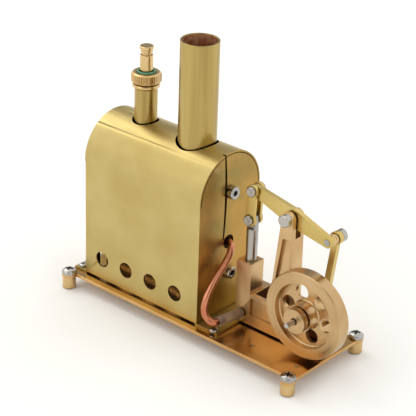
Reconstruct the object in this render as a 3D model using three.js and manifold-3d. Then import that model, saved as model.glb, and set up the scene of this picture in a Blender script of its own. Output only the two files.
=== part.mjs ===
// Model beam engine with its boiler, on one base plate.
// Millimetres, +Z up. +X runs from the boiler towards the engine, +Y towards the back.
// Working coordinates have x = 0, y = 0 at the middle of the base plate and z = 0 under the feet.
// The finished group is shifted so that its origin is the bottom centre of its bounding box.

import * as THREE from "three";
import { mergeVertices } from "three/addons/utils/BufferGeometryUtils.js";
import Module from "manifold-3d";

const wasm = await Module();
wasm.setup();

// ---------------------------------------------------------------- driving dimensions

// Base plate and feet
const plateLength = 87.6;
const plateMargin = 1.65;
const plateThickness = 1.0;
const footInsetX = 1.45;
const footOutsetY = 0.85;
const footRadius = 2.05;
const footHeight = 3.8;
const earRadius = 2.2;
const spareHoleRadius = 0.65;
const spareHoleXs = [24.4, 40.1];
const spareHoleY = -8.9;

// Shared plane through the boiler, the cylinder, the column and the beam
const middleY = 0.95;

// Boiler casing, one folded sheet
const casingX0 = -38.9;
const casingX1 = 5.9;
const casingWidth = 25.7;
const casingSheet = 0.5;
const casingSide = 36.8;
const airHoleRadius = 2.45;
const airHoleCount = 4;
const airHoleFirstX = -31.8;
const airHolePitch = 9.68;
const airHoleHeight = 7.1;
const archGap = 0.25;
const archGapDrop = 0.3;
const slitTopY = -1.7;
const slitMiddleY = -0.85;
const slitBottomY = -1.4;
const slitTipWidth = 0.55;
const slitMiddleWidth = 0.95;
const flueClearance = 0.6;
const burnerDoorWidth = 16.4;
const burnerDoorHeight = 10.2;

// Brackets under and inside the two casing ends
const bracketFoot = 0.6;
const bracketThickness = 1.2;
const bracketHalfWidth = 11.5;
const bracketHeight = 41.0;
const bracketShoulder = 35.0;
const bracketTopHalfWidth = 6.0;
const bracketReachEngine = 8.3;
const bracketReachFar = 5.0;
const bracketScrewInset = 1.7;
const bracketScrewOffsets = [[-11.1, 9.2], [-12.2, 12.2]];
const bracketCornerCut = 3.2;

// Casing screws, counted from the top of the base plate
const casingScrewHeights = [12.8, 38.1];

// Boiler
const drumRadius = 10.3;
const drumWall = 0.8;
const drumHeight = 25.45;
const capThickness = 1.0;
const spigotRadius = 1.2;
const chimneyX = -7.0;
const chimneyRadius = 5.57;
const chimneyWall = 0.7;
const chimneyTop = 84.6;
const flueDrop = 0.35;
const neckX = -26.95;
const neckRadius = 3.36;
const neckBore = 2.4;
const neckTop = 64.9;
const neckDrop = 1.4;

// Filler cap with its safety valve
const bushRadius = 4.05;
const bushHeight = 1.5;
const capRadius = 4.4;
const capHeight = 3.1;
const capPlugDepth = 4.2;
const capSeatGap = 0.2;
const sealDepth = 0.35;
const knurlCount = 36;
const knurlDepth = 0.26;
const stemRadius = 1.9;
const stemHeight = 5.5;
const stemRodRadius = 0.95;
const stemDiscHeight = 0.8;
const stemGrooveRadius = 1.45;
const stemGrooveHeight = 0.8;
const knobNeckRadius = 1.75;
const knobNeckHeight = 0.8;
const knobRadius = 2.05;
const knobHeight = 1.9;
const springWire = 0.22;
const springTurns = 4;
const springLength = 3.4;
const sealMinor = 0.4;

// Spirit burner
const tankX0 = -36.6;
const tankX1 = -5.0;
const tankWidth = 15.0;
const tankHeight = 5.0;
const tankWall = 0.5;
const wickTubeRadius = 1.8;
const wickTubeWall = 0.3;
const wickTubeSeat = 2.0;
const wickXs = [-27.5, -14.5];
const wickTubeTop = 8.4;
const wickTop = 9.4;
const handleReach = 6.4;
const handleWidth = 6.0;
const handleHeight = 6.0;
const handleSheet = 0.7;
const handleLift = 1.0;

// Steam line
const pipeRadius = 1.0;
const pipeBore = 0.6;
const pipeExitHeight = 22.4;
const pipeHoleRadius = 2.15;
const nippleX = 14.2;
const nippleHeight = 3.7;
const nippleLean = 9.0;
const tubeBoreGap = 0.14;
const tubeWall = 0.36;
const pipeHoleGap = 0.3;
const tubeLength = 8.6;
const tubeOffset = 0.45;
const nippleGap = 0.25;
const nippleBore = 0.5;
const portEndGap = 0.2;
const portRadius = 0.95;
// Bends of the pipe, first from the hole in the casing, then from the end of the silicone tube
const bendsFromCasing = [[2.4, -1.65, -1.2], [3.0, -4.35, -3.8], [3.2, -7.85, -6.7], [3.4, -11.25, -10.0]];
const bendsToTube = [[-3.284, -1.661, 5.7], [-2.984, -2.361, 3.2], [-1.984, -2.161, 1.1]];

// Engine bed and cylinder block
const bedX0 = 11.7;
const bedX1 = 42.8;
const bedFrontY = -1.8;
const bedBackY = 7.2;
const bedTop = 10.5;
const blockWidth = 5.2;
const blockDepth = 5.5;
const blockHeight = 9.4;
const cylinderX = 14.5;
const boreBottom = 3.5;
const pocketWall = 0.8;
const pocketFloor = 2.4;
const pocketStop = 0.7;
const pocketFrontWall = 0.5;
const panelDepth = 0.8;
const panelSide = 0.1;
const panelEnd = 1.2;
const panelTop = 1.1;
const crankPitWall = 0.5;
const crankPitFloor = 3.6;
const crankPitRoom = 0.4;
const padX0 = 27.4;
const padX1 = 33.2;

// Column and beam
const pivotX = 28.5;
const pivotHeight = 38.3;
const columnEar = 1.95;
const columnDepth = 5.2;
const columnBaseLeft = 23.7;
const columnBaseRight = 30.95;
const slotRoom = 0.35;
const slotDepth = 5.8;
const columnPanelDepth = 1.0;
const columnPanelFoot = 1.5;
const columnPanelTop = 6.4;
const beamThickness = 1.5;
const beamPistonArm = 13.9;
const beamCrankArm = 12.7;
const beamEndRadius = 1.6;
const beamHalfDepth = 2.75;

// Crank, flywheel and connecting rod
const shaftX = 39.0;
const shaftRadius = 0.75;
const crankRadius = 3.5;
const crankAngle = 20.9;
const crankDiscRim = 0.5;
const crankDiscThickness = 1.2;
const crankDiscRoom = 0.5;
const crankPin = { shank: 0.75, head: 1.5, headHeight: 0.6, gap: 0.15 };
const flywheelRadius = 12.85;
const flywheelThickness = 3.9;
const flywheelRim = 3.25;
const flywheelRecess = 1.98;
const flywheelWeb = 1.1;
const flywheelRoom = 1.35;
const flywheelEdge = 0.2;
const flywheelHoleCount = 6;
const flywheelHoleRadius = 2.1;
const flywheelHolePitch = 6.5;
const flywheelHoleStart = 109;
const hubRadius = 4.0;
const hubReach = 1.6;
const collarRadius = 3.55;
const collarReach = 3.77;
const collarGrooveWidth = 0.3;
const collarGrooveDepth = 0.4;
const grubRadius = 0.6;
const grubRecess = 0.3;
const shaftReach = 3.4;
const rodWidth = 2.0;
const rodThickness = 1.6;
const rodRoom = 0.3;
const spacerRadius = 1.5;
const rodEyeRadius = 1.9;
const postWidth = 5.2;
const postRadius = 2.6;
const bushOuter = 1.5;
const bushFlange = 2.1;
const bushFlangeThickness = 0.4;

// Piston and links
const pistonRadius = 1.65;
const pistonBottom = 11.4;
const pistonShoulder = 3.0;
const tongueWidth = 3.0;
const linkLength = 9.0;
const linkThickness = 1.0;
const linkWidth = 3.0;
const linkEyeRadius = 1.9;
const linkPinRadius = 0.6;
const linkPinHead = 1.5;
const linkPinHeadThickness = 0.8;
const linkEyeSlack = 0.36;
const linkEyeOffset = 0.18;

// Fasteners
const footScrew = { shank: 1.2, head: 2.25, headHeight: 1.6, length: 3.4 };
const bracketScrew = { shank: 0.78, head: 1.3, headHeight: 0.9, length: 2.2 };
const bedScrew = { shank: 0.95, head: 1.8, headHeight: 1.2, length: 5.0 };
const casingScrew = { shank: 0.95, head: 1.9, headHeight: 2.0, length: 3.0 };
const pivotPin = { shank: 0.98, head: 1.8, headHeight: 1.8, tail: 0.15 };
const pivotWasher = { radius: 1.5, thickness: 0.5 };
const rodScrew = { shank: 0.95, head: 1.85, headHeight: 1.8 };

// Clearances
const runningClearance = 0.06;
const fixedClearance = 0.05;
const sideClearance = 0.1;

// ---------------------------------------------------------------- derived places

const plateWidth = casingWidth + 2 * plateMargin;
const footSpacingX = plateLength - 2 * footInsetX;
const footSpacingY = plateWidth + 2 * footOutsetY;
const plateTop = footHeight + plateThickness;
const bracketTop = plateTop + bracketFoot;
const casingBottom = bracketTop;
const casingArchZ = casingBottom + casingSide;
const casingRadius = casingWidth / 2;
const drumZ = plateTop + drumHeight;
const drumX0 = casingX0 + casingSheet + bracketThickness;
const drumX1 = casingX1 - casingSheet - bracketThickness;
const airHoleZ = plateTop + airHoleHeight;
const pipeExitZ = plateTop + pipeExitHeight;
const tubeBore = pipeRadius + tubeBoreGap;
const tubeRadius = tubeBore + tubeWall;
const bushTop = neckTop + bushHeight;
const capBottom = bushTop + capSeatGap;
const capTop = capBottom + capHeight;
const sealSeat = capTop - sealDepth;
const nippleSpigot = middleY - pistonRadius - bedFrontY - nippleGap;
const portDepth = nippleSpigot + portEndGap;
const bedBottom = bracketTop;
const bedTopZ = plateTop + bedTop;
const blockTopZ = bedTopZ + blockHeight;
const pivotZ = plateTop + pivotHeight;
const shaftZ = plateTop + flywheelRoom + flywheelRadius;
const flywheelBackY = bedFrontY - bushFlangeThickness - sideClearance;
const flywheelFrontY = flywheelBackY - flywheelThickness;
const postBackY = middleY + sideClearance + beamThickness / 2 + sideClearance;
const slotWidth = beamThickness + 2 * slotRoom;
const crankDiscRadius = crankRadius + crankPin.shank + crankDiscRim;
const crankDiscY0 = postBackY + crankDiscRoom;
const crankDiscY1 = crankDiscY0 + crankDiscThickness;
const rodY0 = crankDiscY1 + rodRoom;
const rodY1 = rodY0 + rodThickness;
const radians = THREE.MathUtils.degToRad;

// The crank stands crankAngle before its lowest point, which sets the beam's tilt at rest.
const crankPinX = shaftX - crankRadius * Math.sin(radians(crankAngle));
const crankPinZ = shaftZ - crankRadius * Math.cos(radians(crankAngle));
const beamTilt = Math.asin((shaftZ - crankPinZ) / beamCrankArm);
const rodPinX = pivotX + beamCrankArm * Math.cos(beamTilt);
const rodPinZ = pivotZ - beamCrankArm * Math.sin(beamTilt);
const rodLength = Math.hypot(rodPinX - crankPinX, rodPinZ - crankPinZ);
const rodLean = Math.atan2(rodPinX - crankPinX, rodPinZ - crankPinZ);
const linkTopX = pivotX - beamPistonArm * Math.cos(beamTilt);
const linkTopZ = pivotZ + beamPistonArm * Math.sin(beamTilt);
const linkLean = Math.asin((linkTopX - cylinderX - linkEyeOffset) / linkLength);
const pistonPinZ = linkTopZ - linkLength * Math.cos(linkLean);
const linkInner = beamThickness / 2 + sideClearance;
const linkOuter = linkInner + linkThickness;
const linkPinHalf = linkOuter + fixedClearance + linkPinHeadThickness;

// ---------------------------------------------------------------- finishes

const finishes = {
  satinBrass: { color: 0xc8b56e, roughness: 0.35, metalness: 1 },
  polishedBrass: { color: 0xa86a1e, roughness: 0.2, metalness: 1 },
  turnedBrass: { color: 0xcaa760, roughness: 0.3, metalness: 1 },
  bronze: { color: 0xd2b08c, roughness: 0.4, metalness: 1 },
  copper: { color: 0xc87850, roughness: 0.3, metalness: 1 },
  steel: { color: 0xb8b8b6, roughness: 0.25, metalness: 1 },
  chrome: { color: 0xd8d8d6, roughness: 0.12, metalness: 1 },
  silicone: { color: 0xe6d0c2, roughness: 0.35, metalness: 0 },
  rubber: { color: 0x1e4a2c, roughness: 0.5, metalness: 0 },
  cotton: { color: 0xe8e2d4, roughness: 0.95, metalness: 0 },
};

const engine = new THREE.Group();

function addMesh(parent, name, source, finishName, position = [0, 0, 0], rotation = [0, 0, 0]) {
  const geometry = source instanceof THREE.BufferGeometry ? source : toGeometry(source);
  const mesh = new THREE.Mesh(geometry, new THREE.MeshStandardMaterial(finishes[finishName]));
  mesh.name = name;
  mesh.position.set(...position);
  mesh.rotation.set(...rotation);
  parent.add(mesh);
  return mesh;
}

// ---------------------------------------------------------------- solid helpers

// Merged, closed copy of a geometry, without zero-area triangles.
function closedGeometry(geometry) {
  const copy = geometry.clone();
  copy.deleteAttribute("normal");
  copy.deleteAttribute("uv");
  const merged = mergeVertices(copy, 1e-5);
  const index = merged.getIndex().array;
  const kept = [];
  for (let i = 0; i < index.length; i += 3) {
    const [a, b, c] = [index[i], index[i + 1], index[i + 2]];
    if (a !== b && b !== c && c !== a) kept.push(a, b, c);
  }
  merged.setIndex(kept);
  return merged;
}

function toSolid(geometry) {
  const merged = closedGeometry(geometry);
  return new wasm.Manifold(new wasm.Mesh({
    numProp: 3,
    vertProperties: new Float32Array(merged.getAttribute("position").array),
    triVerts: new Uint32Array(merged.getIndex().array),
  }));
}

function toGeometry(solid) {
  const mesh = solid.getMesh();
  const geometry = new THREE.BufferGeometry();
  geometry.setAttribute("position", new THREE.BufferAttribute(new Float32Array(mesh.vertProperties), 3));
  geometry.setIndex(new THREE.BufferAttribute(new Uint32Array(mesh.triVerts), 1));
  geometry.computeVertexNormals();
  return geometry;
}

function box(x0, x1, y0, y1, z0, z1) {
  const geometry = new THREE.BoxGeometry(x1 - x0, y1 - y0, z1 - z0);
  geometry.translate((x0 + x1) / 2, (y0 + y1) / 2, (z0 + z1) / 2);
  return toSolid(geometry);
}

// Body of revolution about the +Z axis. The profile is a list of [radius, height] that runs
// up the outer side; a ring's profile closes on itself.
function turnedZ(profile, sides) {
  const points = profile.map(([radius, height]) => new THREE.Vector2(radius, height));
  const geometry = new THREE.LatheGeometry(points, sides);
  geometry.rotateX(Math.PI / 2);
  return geometry;
}

function ringProfile(bore, radius, z0, z1) {
  return [[bore, z0], [radius, z0], [radius, z1], [bore, z1], [bore, z0]];
}

function rodProfile(radius, z0, z1) {
  return [[0, z0], [radius, z0], [radius, z1], [0, z1]];
}

function rodZ(radius, x, y, z0, z1, sides) {
  const geometry = turnedZ(rodProfile(radius, z0, z1), sides);
  geometry.translate(x, y, 0);
  return toSolid(geometry);
}

function rodX(radius, y, z, x0, x1, sides) {
  const geometry = turnedZ(rodProfile(radius, x0, x1), sides);
  geometry.rotateY(Math.PI / 2);
  geometry.translate(0, y, z);
  return toSolid(geometry);
}

function rodY(radius, x, z, y0, y1, sides) {
  const geometry = turnedZ(rodProfile(radius, y0, y1), sides);
  geometry.rotateX(-Math.PI / 2);
  geometry.translate(x, 0, z);
  return toSolid(geometry);
}

function prismZ(shape, z0, z1, curveSegments = 6) {
  const geometry = new THREE.ExtrudeGeometry(shape, { depth: z1 - z0, bevelEnabled: false, curveSegments });
  geometry.translate(0, 0, z0);
  return geometry;
}

// The shape is drawn in y and z, and extruded along x.
function prismX(shape, x0, x1, curveSegments = 6) {
  const geometry = prismZ(shape, x0, x1, curveSegments);
  geometry.rotateX(Math.PI / 2);
  geometry.rotateZ(Math.PI / 2);
  return geometry;
}

// The shape is drawn in x and z, and extruded along y.
function prismY(shape, y0, y1, curveSegments = 6) {
  const geometry = prismZ(shape, -y1, -y0, curveSegments);
  geometry.rotateX(Math.PI / 2);
  return geometry;
}

function polygon(points) {
  return new THREE.Shape(points.map(([x, y]) => new THREE.Vector2(x, y)));
}

// ---------------------------------------------------------------- fasteners

// A fastener's axis is +Z: its head stands on z = 0 and its shank goes down.
function crossHeadScrew({ shank, head, headHeight, length }, sides = 16) {
  const shoulder = headHeight * 0.42;
  const profile = [[0, -length], [shank, -length], [shank, 0], [head, 0], [head, shoulder]];
  const domeSteps = 3;
  for (let step = 1; step < domeSteps; step += 1) {
    const angle = (step / domeSteps) * (Math.PI / 2);
    profile.push([head * Math.cos(angle), shoulder + (headHeight - shoulder) * Math.sin(angle)]);
  }
  profile.push([0, headHeight]);
  const arm = head * 0.5;
  const half = head * 0.12;
  const floor = headHeight * 0.45;
  return toSolid(turnedZ(profile, sides))
    .subtract(box(-arm, arm, -half, half, floor, headHeight + 1))
    .subtract(box(-half, half, -arm, arm, floor, headHeight + 1));
}

function hexagonPrism(acrossFlats, z0, z1) {
  return toSolid(turnedZ(rodProfile(acrossFlats / Math.sqrt(3), z0, z1), 6));
}

function socketScrew({ shank, head, headHeight, length }) {
  const chamfer = 0.2;
  const profile = [
    [0, -length], [shank, -length], [shank, 0], [head, 0],
    [head, headHeight - chamfer], [head - chamfer, headHeight], [0, headHeight],
  ];
  const socket = hexagonPrism(head * 0.82, headHeight * 0.42, headHeight + 1);
  return toSolid(turnedZ(profile, 24)).subtract(socket);
}

// A pin with a head at both ends, along +Y, centred on y = 0.
function linkPin(halfLength) {
  const neck = halfLength - linkPinHeadThickness;
  const profile = [
    [0, -halfLength], [linkPinHead, -halfLength], [linkPinHead, -neck], [linkPinRadius, -neck],
    [linkPinRadius, neck], [linkPinHead, neck], [linkPinHead, halfLength], [0, halfLength],
  ];
  const geometry = turnedZ(profile, 20);
  geometry.rotateX(-Math.PI / 2);
  return geometry;
}

// ---------------------------------------------------------------- base plate, feet

const footXs = [-footSpacingX / 2, footSpacingX / 2];
const footYs = [-footSpacingY / 2, footSpacingY / 2];
const bracketScrewXs = [
  casingX0 + casingSheet - bracketReachFar + bracketScrewInset,
  casingX1 - casingSheet + bracketReachEngine - bracketScrewInset,
];
const bracketScrewYs = bracketScrewOffsets.map((end) => end.map((offset) => middleY + offset));
const bedScrewPlaces = [[bedX0 + 2.6, bedBackY - 1.9], [padX0 + 2.2, bedBackY - 1.9]];

function buildBasePlate() {
  let plate = box(-plateLength / 2, plateLength / 2, -plateWidth / 2, plateWidth / 2, footHeight, plateTop);
  for (const x of footXs) {
    for (const y of footYs) {
      plate = plate.add(rodZ(earRadius, x, y, footHeight, plateTop, 24));
    }
  }
  const drill = (radius, x, y) => {
    plate = plate.subtract(rodZ(radius, x, y, footHeight - 1, plateTop + 1, 16));
  };
  for (const x of footXs) for (const y of footYs) drill(footScrew.shank + fixedClearance, x, y);
  bracketScrewXs.forEach((x, end) => {
    for (const y of bracketScrewYs[end]) drill(bracketScrew.shank + fixedClearance, x, y);
  });
  for (const [x, y] of bedScrewPlaces) drill(bedScrew.shank + fixedClearance, x, y);
  for (const x of spareHoleXs) drill(spareHoleRadius, x, spareHoleY);
  addMesh(engine, "base_plate", plate, "polishedBrass");
}

function buildFeet() {
  const threadDepth = footScrew.length - plateThickness + 0.2;
  const bore = footScrew.shank + fixedClearance;
  const profile = [
    [0, 0], [footRadius, 0], [footRadius, footHeight], [bore, footHeight],
    [bore, footHeight - threadDepth], [0, footHeight - threadDepth],
  ];
  const sides = ["left", "right"];
  const ends = ["front", "back"];
  footXs.forEach((x, i) => footYs.forEach((y, j) => {
    const place = `${ends[j]}_${sides[i]}`;
    addMesh(engine, `foot_${place}`, closedGeometry(turnedZ(profile, 20)), "turnedBrass", [x, y, 0]);
    addMesh(engine, `foot_screw_${place}`, crossHeadScrew(footScrew), "chrome", [x, y, plateTop]);
  }));
}

// ---------------------------------------------------------------- casing and brackets

function archShape(inset, bottomZ) {
  const radius = casingRadius - inset;
  const shape = new THREE.Shape();
  shape.moveTo(middleY - radius, bottomZ);
  shape.lineTo(middleY + radius, bottomZ);
  shape.lineTo(middleY + radius, casingArchZ);
  shape.absarc(middleY, casingArchZ, radius, 0, Math.PI, false);
  shape.lineTo(middleY - radius, bottomZ);
  return shape;
}

// Slot between the folded end and the arch of the wrapper.
function archSlotShape() {
  const outer = casingRadius - casingSheet;
  const inner = outer - archGap;
  const bottom = casingArchZ - archGapDrop;
  const shape = new THREE.Shape();
  shape.moveTo(middleY + inner, bottom);
  shape.lineTo(middleY + outer, bottom);
  shape.lineTo(middleY + outer, casingArchZ);
  shape.absarc(middleY, casingArchZ, outer, 0, Math.PI, false);
  shape.lineTo(middleY - outer, bottom);
  shape.lineTo(middleY - inner, bottom);
  shape.lineTo(middleY - inner, casingArchZ);
  shape.absarc(middleY, casingArchZ, inner, Math.PI, 0, true);
  return shape;
}

// Bowed slit that lets the end spring over the steam pipe.
function slitShape() {
  const top = casingArchZ + casingRadius;
  const bottom = pipeExitZ + pipeHoleRadius * 0.6;
  const middle = (top + bottom) / 2;
  const tip = slitTipWidth / 2;
  // A quadratic curve passes half way between its control point and its chord.
  const bow = 2 * slitMiddleY - (slitTopY + slitBottomY) / 2;
  const bulge = slitMiddleWidth - tip;
  const shape = new THREE.Shape();
  shape.moveTo(slitBottomY - tip, bottom);
  shape.lineTo(slitBottomY + tip, bottom);
  shape.quadraticCurveTo(bow + bulge, middle, slitTopY + tip, top);
  shape.lineTo(slitTopY - tip, top);
  shape.quadraticCurveTo(bow - bulge, middle, slitBottomY - tip, bottom);
  return shape;
}

function buildCasing() {
  const arcSteps = 15;
  const innerX0 = casingX0 + casingSheet;
  const innerX1 = casingX1 - casingSheet;
  let casing = toSolid(prismX(archShape(0, casingBottom), casingX0, casingX1, arcSteps));
  const hollow = prismX(archShape(casingSheet, casingBottom - 1), innerX0, innerX1, arcSteps);
  casing = casing.subtract(toSolid(hollow));
  const slot = archSlotShape();
  casing = casing.subtract(toSolid(prismX(slot, casingX0 - 1, innerX0 + 0.01, arcSteps)));
  casing = casing.subtract(toSolid(prismX(slot, innerX1 - 0.01, casingX1 + 1, arcSteps)));
  casing = casing.subtract(toSolid(prismX(slitShape(), innerX1 - 0.5, casingX1 + 1, 5)));
  casing = casing.subtract(rodX(pipeHoleRadius, middleY, pipeExitZ, innerX1 - 1, casingX1 + 1, 24));
  const frontY = middleY - casingWidth;
  const backY = middleY + casingWidth;
  for (let hole = 0; hole < airHoleCount; hole += 1) {
    const x = airHoleFirstX + hole * airHolePitch;
    casing = casing.subtract(rodY(airHoleRadius, x, airHoleZ, frontY, backY, 24));
  }
  for (const height of casingScrewHeights) {
    const bore = casingScrew.shank + fixedClearance;
    casing = casing.subtract(rodX(bore, middleY, plateTop + height, casingX0 - 1, casingX1 + 1, 16));
  }
  const roof = casingArchZ + casingRadius + 1;
  casing = casing.subtract(rodZ(chimneyRadius + flueClearance, chimneyX, middleY, casingArchZ, roof, 32));
  casing = casing.subtract(rodZ(neckRadius + flueClearance, neckX, middleY, casingArchZ, roof, 24));
  const halfDoor = burnerDoorWidth / 2;
  casing = casing.subtract(box(
    casingX0 - 1, innerX0 + 0.01, middleY - halfDoor, middleY + halfDoor,
    casingBottom - 1, plateTop + burnerDoorHeight,
  ));
  addMesh(engine, "boiler_casing", casing, "satinBrass");
}

function bracketShape() {
  return polygon([
    [middleY - bracketHalfWidth, plateTop],
    [middleY + bracketHalfWidth, plateTop],
    [middleY + bracketHalfWidth, plateTop + bracketShoulder],
    [middleY + bracketTopHalfWidth, plateTop + bracketHeight],
    [middleY - bracketTopHalfWidth, plateTop + bracketHeight],
    [middleY - bracketHalfWidth, plateTop + bracketShoulder],
  ]);
}

// One L-shaped bracket: a wall inside the casing end and a foot that runs out under it.
function bracketBlank(wallX0, wallX1, footX0, footX1) {
  let bracket = toSolid(prismX(bracketShape(), wallX0, wallX1));
  bracket = bracket.add(box(
    footX0, footX1, middleY - casingRadius, middleY + casingRadius, plateTop, bracketTop,
  ));
  for (const height of casingScrewHeights) {
    const bore = casingScrew.shank + fixedClearance;
    bracket = bracket.subtract(rodX(bore, middleY, plateTop + height, wallX0 - 1, wallX1 + 1, 16));
  }
  bracket = bracket.subtract(rodX(spigotRadius + fixedClearance, middleY, drumZ, wallX0 - 1, wallX1 + 1, 16));
  return bracket;
}

function drillBracketFoot(bracket, end) {
  let drilled = bracket;
  for (const y of bracketScrewYs[end]) {
    const bore = bracketScrew.shank + fixedClearance;
    drilled = drilled.subtract(rodZ(bore, bracketScrewXs[end], y, plateTop - 1, bracketTop + 1, 16));
  }
  return drilled;
}

function buildBrackets() {
  const wallX1 = casingX1 - casingSheet;
  let near = bracketBlank(drumX1, wallX1, wallX1, wallX1 + bracketReachEngine);
  near = drillBracketFoot(near, 1);
  near = near.subtract(rodX(pipeRadius + pipeHoleGap, middleY, pipeExitZ, drumX1 - 1, casingX1, 16));
  const [screwX, screwY] = bedScrewPlaces[0];
  const bedScrewBore = bedScrew.shank + fixedClearance;
  near = near.subtract(rodZ(bedScrewBore, screwX, screwY, plateTop - 1, bracketTop + 1, 16));
  addMesh(engine, "bracket_engine_end", near, "satinBrass");

  const wallX0 = casingX0 + casingSheet;
  let far = bracketBlank(wallX0, drumX0, wallX0 - bracketReachFar, wallX0);
  far = drillBracketFoot(far, 0);
  const cutX = wallX0 - bracketReachFar;
  const cutY = middleY + casingRadius;
  const corner = polygon([
    [cutX - 2, cutY - bracketCornerCut - 2], [cutX + bracketCornerCut + 2, cutY + 2], [cutX - 2, cutY + 2],
  ]);
  far = far.subtract(toSolid(prismZ(corner, plateTop - 1, bracketTop + 1)));
  const halfDoor = burnerDoorWidth / 2;
  far = far.subtract(box(
    wallX0 - 0.01, drumX0 + 1, middleY - halfDoor, middleY + halfDoor,
    bracketTop, plateTop + burnerDoorHeight,
  ));
  addMesh(engine, "bracket_burner_end", far, "satinBrass");
}

function buildCasingScrews() {
  bracketScrewXs.forEach((x, i) => bracketScrewYs[i].forEach((y, j) => {
    const name = `bracket_screw_${["burner", "engine"][i]}_${["front", "back"][j]}`;
    addMesh(engine, name, crossHeadScrew(bracketScrew, 14), "chrome", [x, y, bracketTop]);
  }));
  casingScrewHeights.forEach((height, i) => {
    const level = ["lower", "upper"][i];
    const z = plateTop + height;
    addMesh(engine, `casing_screw_engine_${level}`, socketScrew(casingScrew), "chrome",
      [casingX1, middleY, z], [0, Math.PI / 2, 0]);
    addMesh(engine, `casing_screw_burner_${level}`, socketScrew(casingScrew), "chrome",
      [casingX0, middleY, z], [0, -Math.PI / 2, 0]);
  });
}

// ---------------------------------------------------------------- boiler

function buildBoiler() {
  const sides = 36;
  let drum = rodX(drumRadius, middleY, drumZ, drumX0, drumX1, sides);
  drum = drum.subtract(rodX(drumRadius - drumWall, middleY, drumZ, drumX0 - 1, drumX1 + 1, sides));
  drum = drum.subtract(rodZ(chimneyRadius + fixedClearance, chimneyX, middleY, 0, chimneyTop, 40));
  drum = drum.subtract(rodZ(neckRadius + fixedClearance, neckX, middleY, drumZ, neckTop, 24));
  addMesh(engine, "boiler_drum", drum, "copper");

  const capRim = drumRadius - drumWall - fixedClearance;
  const capDisc = (x0, x1) => rodX(capRim, middleY, drumZ, x0, x1, sides);
  const near = capDisc(drumX1 - capThickness, drumX1)
    .add(rodX(spigotRadius, middleY, drumZ, drumX1 - capThickness, drumX1 + bracketThickness, 16))
    .subtract(rodX(pipeRadius + 2 * fixedClearance, middleY, pipeExitZ, drumX1 - 2, drumX1 + 1, 16));
  addMesh(engine, "boiler_end_engine", near, "copper");
  const far = capDisc(drumX0, drumX0 + capThickness)
    .add(rodX(spigotRadius, middleY, drumZ, drumX0 - bracketThickness, drumX0 + capThickness, 16));
  addMesh(engine, "boiler_end_burner", far, "copper");

  const flueBottom = drumZ - drumRadius - flueDrop;
  const flue = turnedZ(ringProfile(chimneyRadius - chimneyWall, chimneyRadius, flueBottom, chimneyTop), 32);
  addMesh(engine, "chimney", closedGeometry(flue), "satinBrass", [chimneyX, middleY, 0]);

  const neckBottom = drumZ + drumRadius - neckDrop;
  const neck = turnedZ(ringProfile(neckBore, neckRadius, neckBottom, neckTop), 24);
  addMesh(engine, "filler_neck", closedGeometry(neck), "satinBrass", [neckX, middleY, 0]);
  const collar = turnedZ([
    [neckBore, neckTop], [neckRadius, neckTop], [bushRadius, neckTop + 0.4], [bushRadius, bushTop - 0.3],
    [bushRadius - 0.3, bushTop], [neckBore, bushTop], [neckBore, neckTop],
  ], 24);
  addMesh(engine, "filler_bush", closedGeometry(collar), "turnedBrass", [neckX, middleY, 0]);
}

// ---------------------------------------------------------------- filler cap and safety valve

function knurledShape(radius, depth, teeth) {
  const points = [];
  for (let tooth = 0; tooth < teeth; tooth += 1) {
    const angle = (tooth / teeth) * 2 * Math.PI;
    const valley = angle + Math.PI / teeth;
    points.push([radius * Math.cos(angle), radius * Math.sin(angle)]);
    points.push([(radius - depth) * Math.cos(valley), (radius - depth) * Math.sin(valley)]);
  }
  return polygon(points);
}

class Helix extends THREE.Curve {
  constructor(radius, turns, height) {
    super();
    this.radius = radius;
    this.turns = turns;
    this.height = height;
  }

  getPoint(t, target = new THREE.Vector3()) {
    const angle = t * this.turns * 2 * Math.PI;
    return target.set(this.radius * Math.cos(angle), this.radius * Math.sin(angle), t * this.height);
  }
}

function sweptTube(curve, radius, bore, steps, sides, boreSides) {
  const section = new THREE.Shape();
  section.absarc(0, 0, radius, 0, 2 * Math.PI, false);
  if (bore > 0) {
    const hole = polygon(Array.from({ length: boreSides }, (_, i) => {
      const angle = (i / boreSides) * 2 * Math.PI;
      return [bore * Math.cos(angle), bore * Math.sin(angle)];
    }));
    section.holes.push(hole);
  }
  const geometry = new THREE.ExtrudeGeometry(section, { steps, extrudePath: curve, curveSegments: sides });
  return closedGeometry(geometry);
}

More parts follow.
